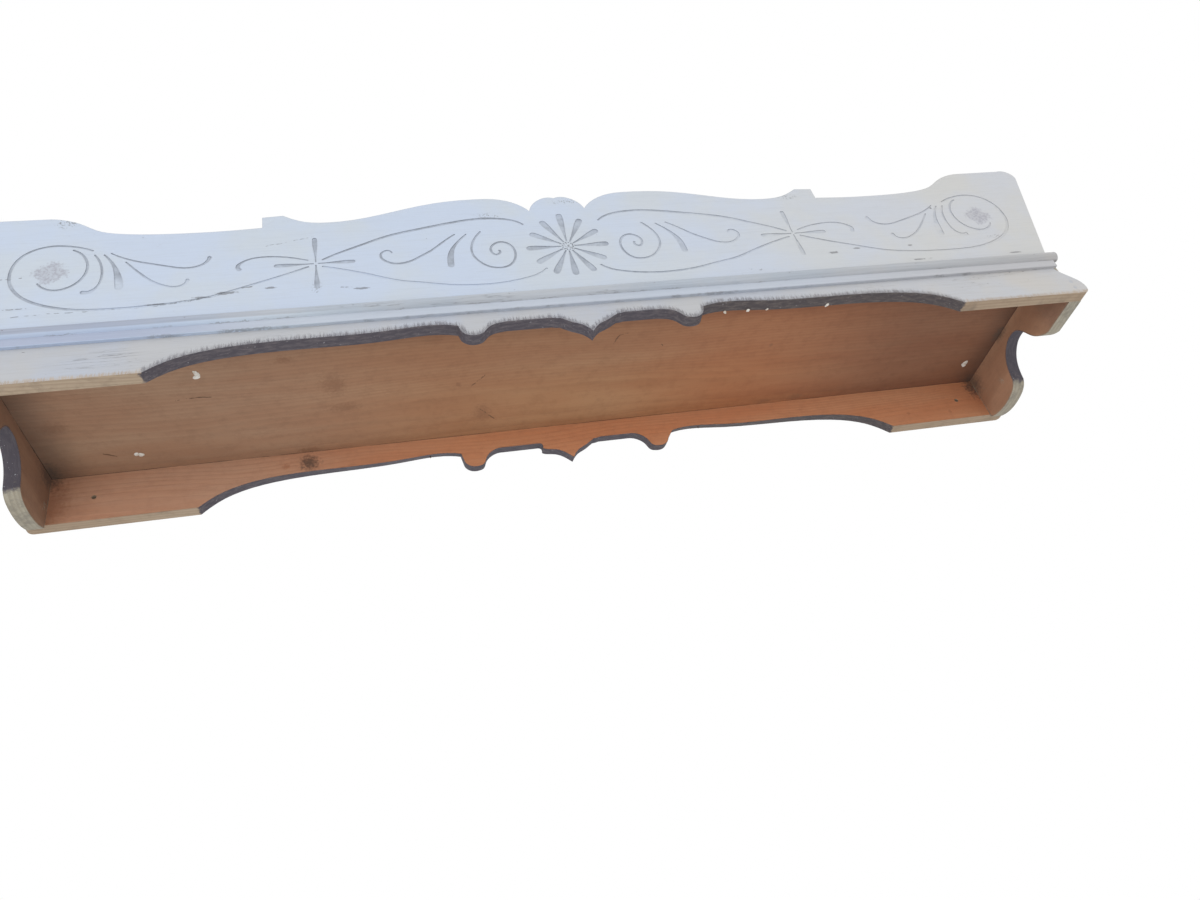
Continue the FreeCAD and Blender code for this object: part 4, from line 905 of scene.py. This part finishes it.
@dataclass
class Carcass:
    """The shelf board, the rear apron and the two brackets."""

    effects: SharedEffects
    scallop_end: float = 0.480
    left_inside: float = -0.653
    right_inside: float = 0.643
    rear_inside: float = -0.016
    cut_front: float = -0.168
    cut_rear: float = -0.0915
    # Painted shade and light on the underside: darker towards the right bracket, darker in the shade behind
    # the front apron, and cooler and paler at the left end.
    shelf_painted_shade_and_light: tuple[Tint, ...] = (
        Tint(0, (0.02, 0.26), (1.0, 0.80, 0.70)),
        Tint(0, (0.24, 0.52), (0.66, 0.72, 0.84)),
        Tint(1, (-0.190, -0.236), (0.62, 0.56, 0.58)),
        Tint(0, (-0.15, -0.45), (0.98, 1.17, 1.40), 0.7),
    )
    # Painted cool light: the rear apron's inner face turns bluer and paler towards the left end.
    rear_painted_light: tuple[Tint, ...] = (Tint(0, (-0.10, -0.50), (0.90, 1.22, 1.65), 0.7),)
    # Painted shade: the brackets' inner faces darken towards the front, behind the front apron.
    bracket_painted_shade: tuple[Tint, ...] = (Tint(1, (-0.185, -0.215), (0.76, 0.78, 0.84)),)
    shelf_stains: tuple[Spot, ...] = SHELF_UNDERSIDE.spots(
        (-0.300, -0.144, 0.022, 0.026, 0.95),
        (-0.290, -0.100, 0.030, 0.012, 0.95),
        (-0.118, -0.060, 0.016, 0.026, 0.95),
        (-0.345, -0.020, 0.020, 0.010, 0.8),
        (-0.620, -0.112, 0.028, 0.014, 0.95),
        (-0.350, -0.194, 0.016, 0.009, 0.9),
        (0.275, -0.142, 0.0035, 0.005, 0.6),
        (0.345, -0.024, 0.014, 0.009, 0.7),
        (0.295, -0.022, 0.018, 0.006, 0.9),
        (0.480, -0.121, 0.060, 0.006, 0.95),
        (-0.148, -0.122, 0.005, 0.006, 0.7),
    )
    shelf_scratches: tuple[Scratch, ...] = SHELF_UNDERSIDE.scratches(
        (-0.480, -0.141, -0.440, -0.143, 0.0013),
        (-0.140, -0.107, -0.112, -0.138, 0.0011),
        (-0.120, -0.068, -0.095, -0.040, 0.0011),
        (-0.582, -0.056, -0.570, -0.050, 0.0014),
        (0.050, -0.172, 0.056, -0.186, 0.0011),
        (0.056, -0.186, 0.078, -0.192, 0.0008),
        (0.108, -0.176, 0.118, -0.160, 0.0009),
    )
    rear_stains_and_shade: tuple[Spot, ...] = REAR_INSIDE.spots(
        (-0.345, 0.018, 0.015, 0.016, 0.9),
        (-0.375, 0.014, 0.007, 0.006, 0.8),
        (0.514, -0.0144, 0.0036, 0.0036, 0.6),
        (0.582, -0.0190, 0.0034, 0.0040, 0.6),
        # Painted shade: the two large soft spots at the ends darken the corners by the brackets.
        (-0.650, 0.000, 0.030, 0.050, 0.95),
        (0.646, 0.010, 0.024, 0.045, 0.95),
    )
    # Grime and painted shade: the first spot darkens a stain on the rear apron; the other three are painted
    # shade in the corners by the brackets.
    corner_dirt_and_shade: tuple[Spot, ...] = (
        Spot((-0.345, -0.016, 0.016), (0.017, 0.02, 0.018), 0.9),
        Spot((0.640, -0.020, 0.022), (0.018, 0.026, 0.026), 0.9),
        Spot((0.640, -0.120, 0.034), (0.012, 0.022, 0.010), 0.9),
        Spot((-0.652, -0.030, 0.030), (0.020, 0.030, 0.022), 0.9),
    )

    def dress_shelf(self, shelf: bpy.types.Object) -> None:
        """Finishes the shelf board: bare and stained below, with painted shade and light, and worn paint
        above.

        Args:
            shelf: the shelf board.
        """
        made = Finish("shelf_board_pine", self.effects)
        w = made.w
        bare, wood_relief = made.pine(SHELF_PINE, Grain.LONG_X_WIDE_Y)
        golden = w.times(w.step(w.math("ABSOLUTE", w.minus(made.x, 0.06)), 0.42, 0.05),
                         w.step(made.y, -0.17, -0.08))
        bare = w.tint(w.times(golden, 0.6), bare, (1.12, 1.08, 0.92))
        # Painted shade towards the right and behind the front apron, and painted cool light at the left end.
        bare = made.tinted(bare, self.shelf_painted_shade_and_light)
        bare = w.mix(w.times(made.spots(self.shelf_stains), 0.50), bare, SHELF_PINE.dark)
        bare = w.mix(w.times(made.scratches(self.shelf_scratches), 0.8), bare, SHELF_PINE.stain)
        end = w.step(w.math("ABSOLUTE", made.x), 0.595, 0.648)
        bare = w.mix(w.times(end, 0.55), bare, END_SHADE)
        bare = w.mix(w.times(made.spots(self.corner_dirt_and_shade), 0.7), bare, CORNER_DIRT_AND_SHADE)
        gaps = made.seams([(made.y, self.rear_inside, 0.0012), (made.x, self.left_inside, 0.0013),
                           (made.x, self.right_inside, 0.0013)], 0.4)
        gap = w.times(gaps, w.step(w.noise(made.where, 16.0, 3.0, 0.6), 0.34, 0.56))
        bare = w.mix(w.times(gap, 0.85), bare, GAP_DARK)
        coat, relief, gone = made.paint(SHELF_TOP_PAINT, 17.0, Grain.LONG_X_WIDE_Y)
        top = made.faces(2, 1.0)
        colour = w.mix(top, bare, coat)
        height = w.mix_value(top, wood_relief, relief)
        rough = w.mix_value(top, 0.74, w.mix_value(gone, 0.5, 0.8))
        shelf.material_slots[0].material = made.close(colour, rough, height, 0.00028)

    def dress_rear(self, rear: bpy.types.Object) -> None:
        """Finishes the rear apron: orange pine made paler as painted light, dark scallops and bare feet.

        Args:
            rear: the rear apron.
        """
        made = Finish("rear_apron_pine", self.effects)
        w = made.w
        bare, wood_relief = made.pine(REAR_PINE_LIT, Grain.LONG_X_WIDE_Z)
        # Painted cool light towards the left end.
        bare = made.tinted(bare, self.rear_painted_light)
        bare = w.mix(w.times(made.spots(self.rear_stains_and_shade), 0.55), bare, REAR_PINE_LIT.dark)
        bare = w.mix(w.times(made.spots(self.corner_dirt_and_shade), 0.75), bare, CORNER_DIRT_AND_SHADE)
        edge_colour, edge_relief = scallop_edge(made, self.scallop_end)
        inner, outer = made.faces(1, -1.0), made.faces(1, 1.0)
        rim = w.use(self.effects.rim, Where=made.where, Width=0.0018, Ragged=0.8)
        low = w.rest(w.step(made.z, 0.012, 0.016))
        lapped = w.times(w.times(rim.outputs["Rim"], low), 0.75)
        board = w.mix(lapped, bare, edge_colour)
        dusty = w.mix(0.35, bare, WALL_DUST)
        colour = w.mix(inner, edge_colour, board)
        colour = w.mix(outer, colour, dusty)
        flat = w.math("MAXIMUM", inner, outer)
        height = w.mix_value(flat, edge_relief, wood_relief)
        rear.material_slots[0].material = made.close(colour, 0.76, height, 0.00028)

    def dress_bracket(self, bracket: bpy.types.Object, side: float) -> None:
        """Finishes one bracket: bare inside, painted outside, dark in the C-cut.

        Args:
            bracket: the bracket.
            side: -1 for the left one, 1 for the right one.
        """
        made = Finish("left_bracket_pine" if side < 0 else "right_bracket_pine", self.effects)
        w = made.w
        bare, wood_relief = made.pine(BRACKET_PINE_LIT, Grain.LONG_Y_WIDE_Z)
        # Painted shade: the left bracket's pine is darkened as a whole, for a bracket that stands in less
        # light than the right one.
        if side < 0:
            bare = w.mix(1.0, bare, (0.66, 0.68, 0.70), "MULTIPLY")
        outside = made.faces(0, side)
        inside = made.faces(0, -side)
        coat, relief, gone = made.paint(APRON_PAINT, 23.0, Grain.LONG_Y_WIDE_Z)
        shaken = w.times(w.minus(w.noise(made.where, 120.0, 3.0, 0.7), 0.5), 0.010)
        along = w.plus(made.y, shaken)
        in_cut = w.times(w.step(along, self.cut_front - 0.002, self.cut_front + 0.003),
                         w.rest(w.step(along, self.cut_rear - 0.001, self.cut_rear + 0.003)))
        drag = w.step(w.noise(w.stretched(made.where, (260.0, 90.0, 90.0)), 1.0, 4.0, 0.7), 0.40, 0.72)
        dark = w.mix(w.times(drag, 0.45), EDGE_DARK, EDGE_DARK_WORN)
        flake = w.step(w.noise(made.where, 300.0, 2.0, 0.6), 0.70, 0.73)
        dark = w.mix(w.times(flake, 0.65), dark, CUT_FLAKE)
        # Painted shade towards the front of the bracket.
        bare = made.tinted(bare, self.bracket_painted_shade)
        bare = w.mix(w.times(made.spots(self.corner_dirt_and_shade), 0.6), bare, CORNER_DIRT_AND_SHADE)
        foot, foot_relief = made.pine(END_WOOD, Grain.LONG_Y_WIDE_Z)
        foot = w.mix(1.0, foot, (0.94, 1.12, 1.24), "MULTIPLY")
        grime = w.step(w.noise(made.where, 75.0, 4.0, 0.7), 0.42, 0.66)
        foot = w.mix(w.times(grime, 0.6), foot, HEEL_GRIME)
        edge = w.mix(in_cut, foot, dark)
        rim = w.use(self.effects.rim, Where=made.where, Width=0.0050, Ragged=1.2)
        low = w.rest(w.step(made.z, 0.020, 0.028))
        lapped = w.times(w.times(rim.outputs["Rim"], low), 0.8)
        colour = w.mix(inside, edge, w.mix(lapped, bare, edge))
        colour = w.mix(outside, colour, w.mix(lapped, coat, edge))
        height = w.mix_value(inside, foot_relief, wood_relief)
        height = w.mix_value(outside, height, relief)
        rough = w.mix_value(outside, 0.76, 0.56)
        bracket.material_slots[0].material = made.close(colour, rough, height, 0.00026)


@dataclass
class Fixings:
    """The cut nails and pins that hold the boards."""

    effects: SharedEffects

    def dress(self, groups: dict[str, bpy.types.Object]) -> None:
        """Gives the nails dark iron with rust at their heads.

        Args:
            groups: the nail groups by name.
        """
        made = Finish("nail_iron", self.effects)
        w = made.w
        rust = w.step(w.noise(made.where, 900.0, 4.0, 0.7), 0.42, 0.64)
        colour = w.mix(rust, IRON, RUST)
        w.feed(made.shader.inputs["Metallic"], w.minus(0.85, w.times(rust, 0.75)))
        iron = made.close(colour, w.mix_value(rust, 0.45, 0.85), rust, 0.00015)
        for name, nails in groups.items():
            nails.material_slots[0].material = iron
            log.info("%s: dark iron", name)

    def dress_painted(self, nails: bpy.types.Object) -> None:
        """Covers the nails in the apron's feet with the apron's paint, a little rust bleeding through.

        Args:
            nails: the apron's nails.
        """
        made = Finish("painted_nail", self.effects)
        w = made.w
        coat, relief, gone = made.paint(APRON_PAINT, 11.0)
        bleeding = w.times(w.step(w.noise(made.where, 700.0, 3.0, 0.6), 0.50, 0.70), 0.25)
        colour = w.mix(bleeding, coat, RUST_BLEEDING)
        nails.material_slots[0].material = made.close(colour, w.mix_value(gone, 0.55, 0.85), relief, 0.0001)
        log.info("%s: painted over", nails.name)


@dataclass
class SpilledPaint:
    """Blobs and runs of white paint that dried on the bare wood."""

    effects: SharedEffects
    seed: int = 5
    sizes: tuple[Point, Point] = ((0.65, 0.75, 1.0), (1.30, 1.70, 1.0))
    turns: tuple[Point, Point] = ((0.0, 0.0, -0.6), (0.0, 0.0, 0.6))
    unevenness: Point = (0.0030, 0.0034, 0.0002)
    apron_drops: tuple[Point, ...] = (
        (0.172, -0.2492, -0.0021), (0.202, -0.2494, -0.0023), (0.227, -0.2492, -0.0025),
        (0.261, -0.2496, -0.0029), (0.307, -0.2492, -0.0038),
    )
    shelf_drops: tuple[Point, ...] = (
        (-0.447, -0.184, 0.034), (-0.448, -0.178, 0.034), (-0.547, -0.049, 0.034), (-0.542, -0.047, 0.034),
        (0.612, -0.061, 0.034), (0.613, -0.056, 0.034),
    )

    def tree(self) -> bpy.types.NodeTree:
        """Builds the Geometry Nodes tree that turns points into flattened drops.

        Returns:
            The tree.
        """
        tree = bpy.data.node_groups.new("paint_drops", "GeometryNodeTree")
        takes = {"Points": "Geometry", "Radius": "Float", "Thickness": "Float", "Seed": "Int",
                 "Paint": "Material"}
        for name, kind in takes.items():
            tree.interface.new_socket(name, in_out="INPUT", socket_type="NodeSocket" + kind)
        tree.interface.new_socket("Drops", in_out="OUTPUT", socket_type="NodeSocketGeometry")
        w = Wiring(tree)
        given, out = w.node("NodeGroupInput").outputs, w.node("NodeGroupOutput")
        drop = w.node("GeometryNodeMeshIcoSphere", {"Radius": given["Radius"], "Subdivisions": 4})
        scatter, turn = [
            w.node("FunctionNodeRandomValue", {0: least, 1: most, "Seed": given["Seed"]},
                   data_type="FLOAT_VECTOR")
            for least, most in (self.sizes, self.turns)
        ]
        size = w.vector("MULTIPLY", scatter.outputs[0], w.joined(1.0, 1.0, given["Thickness"]))
        laid = w.node("GeometryNodeInstanceOnPoints", {
            "Points": given["Points"], "Instance": drop.outputs["Mesh"],
            "Scale": size.outputs[0], "Rotation": turn.outputs[0],
        })
        real = w.node("GeometryNodeRealizeInstances", {0: laid.outputs[0]})
        ripple = w.node("ShaderNodeTexNoise", {"Scale": 420.0}, noise_dimensions="3D")
        lean = w.vector("SUBTRACT", ripple.outputs["Color"], (0.5, 0.5, 0.5))
        push = w.vector("MULTIPLY", lean.outputs[0], self.unevenness)
        rough = w.node("GeometryNodeSetPosition", {"Geometry": real.outputs[0], "Offset": push.outputs[0]})
        painted = w.node("GeometryNodeSetMaterial",
                         {"Geometry": rough.outputs[0], "Material": given["Paint"]})
        w.feed(out.inputs[0], painted.outputs[0])
        return tree

    def paint(self) -> bpy.types.Material:
        """Makes the dried white paint.

        Returns:
            The material.
        """
        made = Finish("spilled_paint", self.effects)
        w = made.w
        patches = w.step(w.noise(made.where, 240.0, 3.0, 0.6), 0.35, 0.7)
        colour = w.mix(patches, DRIED_PAINT, DRIED_PAINT_DULL)
        return made.close(colour, w.mix_value(patches, 0.42, 0.65), patches, 0.0002)

    def build(self, name: str, points: Sequence[Point], radius: float, thickness: float,
              tree: bpy.types.NodeTree, paint: bpy.types.Material) -> bpy.types.Object:
        """Lays one set of drops and makes it a plain mesh.

        Args:
            name: what the piece is called.
            points: where the drops sit.
            radius: a drop's radius.
            thickness: how flat a drop is, 1 for round.
            tree: the Geometry Nodes tree.
            paint: the material.

        Returns:
            The finished piece.
        """
        seat = bpy.data.meshes.new(name + "_points")
        seat.from_pydata([Vector(point) for point in points], [], [])
        holder = bpy.data.objects.new(name + "_seat", seat)
        bpy.context.scene.collection.objects.link(holder)
        nodes = holder.modifiers.new("drops", "NODES")
        nodes.node_group = tree
        values = {"Radius": radius, "Thickness": thickness, "Seed": self.seed, "Paint": paint}
        for item in tree.interface.items_tree:
            if item.in_out == "INPUT" and item.name in values:
                nodes[item.identifier] = values[item.name]
        seen = holder.evaluated_get(bpy.context.evaluated_depsgraph_get())
        mesh = bpy.data.meshes.new_from_object(seen)
        holder.modifiers.clear()
        bpy.data.objects.remove(holder)
        mesh.polygons.foreach_set("use_smooth", [True] * len(mesh.polygons))
        piece = bpy.data.objects.new(name, mesh)
        bpy.context.scene.collection.objects.link(piece)
        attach(piece, "root")
        log.info("%s: %d faces", name, len(mesh.polygons))
        return piece


@dataclass(frozen=True)
class Lamp:
    """One large soft lamp: where it hangs, the length of its side, its power in watts and its colour."""

    name: str
    place: Point
    side: float
    power: float
    colour: Colour


@dataclass
class Studio:
    """The camera, the floor and the soft white light."""

    eye: Point = (-0.2369, -1.0010, -0.7370)
    right: Point = (0.9692, -0.1090, -0.2208)
    up: Point = (0.1111, -0.6068, 0.7871)
    lens: float = 27.25
    sensor: float = 36.0
    aim: Point = (0.0, -0.13, 0.05)
    floor_level: float = -1.45
    floor_reach: float = 14.0
    lamps: tuple[Lamp, ...] = (
        Lamp("key", (-1.5, -2.9, -0.55), 2.6, 34.0, (0.94, 0.97, 1.0)),
        Lamp("fill", (1.2, -2.2, 1.6), 3.0, 10.0, (1.0, 0.985, 0.96)),
    )

    def build(self) -> None:
        """Sets the camera, the floor, the lights and the white surround."""
        self.camera()
        self.floor()
        for lamp in self.lamps:
            self.light(lamp)
        surround = bpy.data.worlds.new("white_surround")
        surround.use_nodes = True
        sky = surround.node_tree.nodes["Background"]
        sky.inputs["Color"].default_value = (1.0, 1.0, 1.0, 1.0)
        sky.inputs["Strength"].default_value = 1.0
        bpy.context.scene.world = surround
        bpy.context.scene.view_settings.view_transform = "Standard"

    def camera(self) -> None:
        """Stands the camera in front of the shelf, below it and a little to its left, looking up."""
        lens = bpy.data.cameras.new("camera")
        lens.lens = self.lens
        lens.sensor_width = self.sensor
        lens.clip_start = 0.01
        camera = bpy.data.objects.new("camera", lens)
        side, up = Vector(self.right).normalized(), Vector(self.up).normalized()
        back = side.cross(up).normalized()
        up = back.cross(side).normalized()
        camera.matrix_world = Matrix.Translation(self.eye) @ Matrix((side, up, back)).transposed().to_4x4()
        bpy.context.scene.collection.objects.link(camera)
        bpy.context.scene.camera = camera

    def floor(self) -> None:
        """Lays a plain pale floor well below the shelf."""
        mesh = bpy.data.meshes.new("floor")
        reach = self.floor_reach
        corners = [(-reach, -reach), (reach, -reach), (reach, reach), (-reach, reach)]
        mesh.from_pydata([(x, y, self.floor_level) for x, y in corners], [], [(0, 1, 2, 3)])
        floor = bpy.data.objects.new("floor", mesh)
        bpy.context.scene.collection.objects.link(floor)
        pale = bpy.data.materials.new("pale_floor")
        pale.use_nodes = True
        shader = pale.node_tree.nodes["Principled BSDF"]
        shader.inputs["Base Color"].default_value = (0.86, 0.86, 0.86, 1.0)
        shader.inputs["Roughness"].default_value = 0.9
        mesh.materials.append(pale)

    def light(self, lamp: Lamp) -> None:
        """Hangs one lamp that looks at the shelf.

        Args:
            lamp: the lamp.
        """
        made = bpy.data.lights.new(lamp.name, "AREA")
        made.shape = "SQUARE"
        made.size = lamp.side
        made.energy = lamp.power
        made.color = lamp.colour
        held = bpy.data.objects.new(lamp.name, made)
        held.location = lamp.place
        held.rotation_euler = (Vector(self.aim) - Vector(lamp.place)).to_track_quat("-Z", "Y").to_euler()
        bpy.context.scene.collection.objects.link(held)


def main() -> None:
    """Builds the studio, dresses every board and lays the spilled paint."""
    logging.basicConfig(level=logging.INFO, format="%(message)s")
    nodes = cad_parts
    Studio().build()
    effects = SharedEffects()
    front = CarvedFront(effects)
    front.dress_crest(nodes["crest_panel"])
    front.dress_apron(nodes["front_apron"])
    front.dress_moulding(nodes["waist_moulding"])
    log.info("carved front: dressed")
    carcass = Carcass(effects)
    carcass.dress_shelf(nodes["shelf_board"])
    carcass.dress_rear(nodes["rear_apron"])
    carcass.dress_bracket(nodes["left_bracket"], -1.0)
    carcass.dress_bracket(nodes["right_bracket"], 1.0)
    log.info("carcass: dressed")
    fixings = Fixings(effects)
    fixings.dress({name: made for name, made in nodes.items() if name.endswith(("_nails", "_pins"))})
    fixings.dress_painted(nodes["apron_nails"])
    spilled = SpilledPaint(effects)
    tree, paint = spilled.tree(), spilled.paint()
    spilled.build("apron_paint_drops", spilled.apron_drops, 0.0019, 0.6, tree, paint)
    spilled.build("shelf_paint_drops", spilled.shelf_drops, 0.0034, 0.16, tree, paint)


if __name__ == "__main__":
    main()
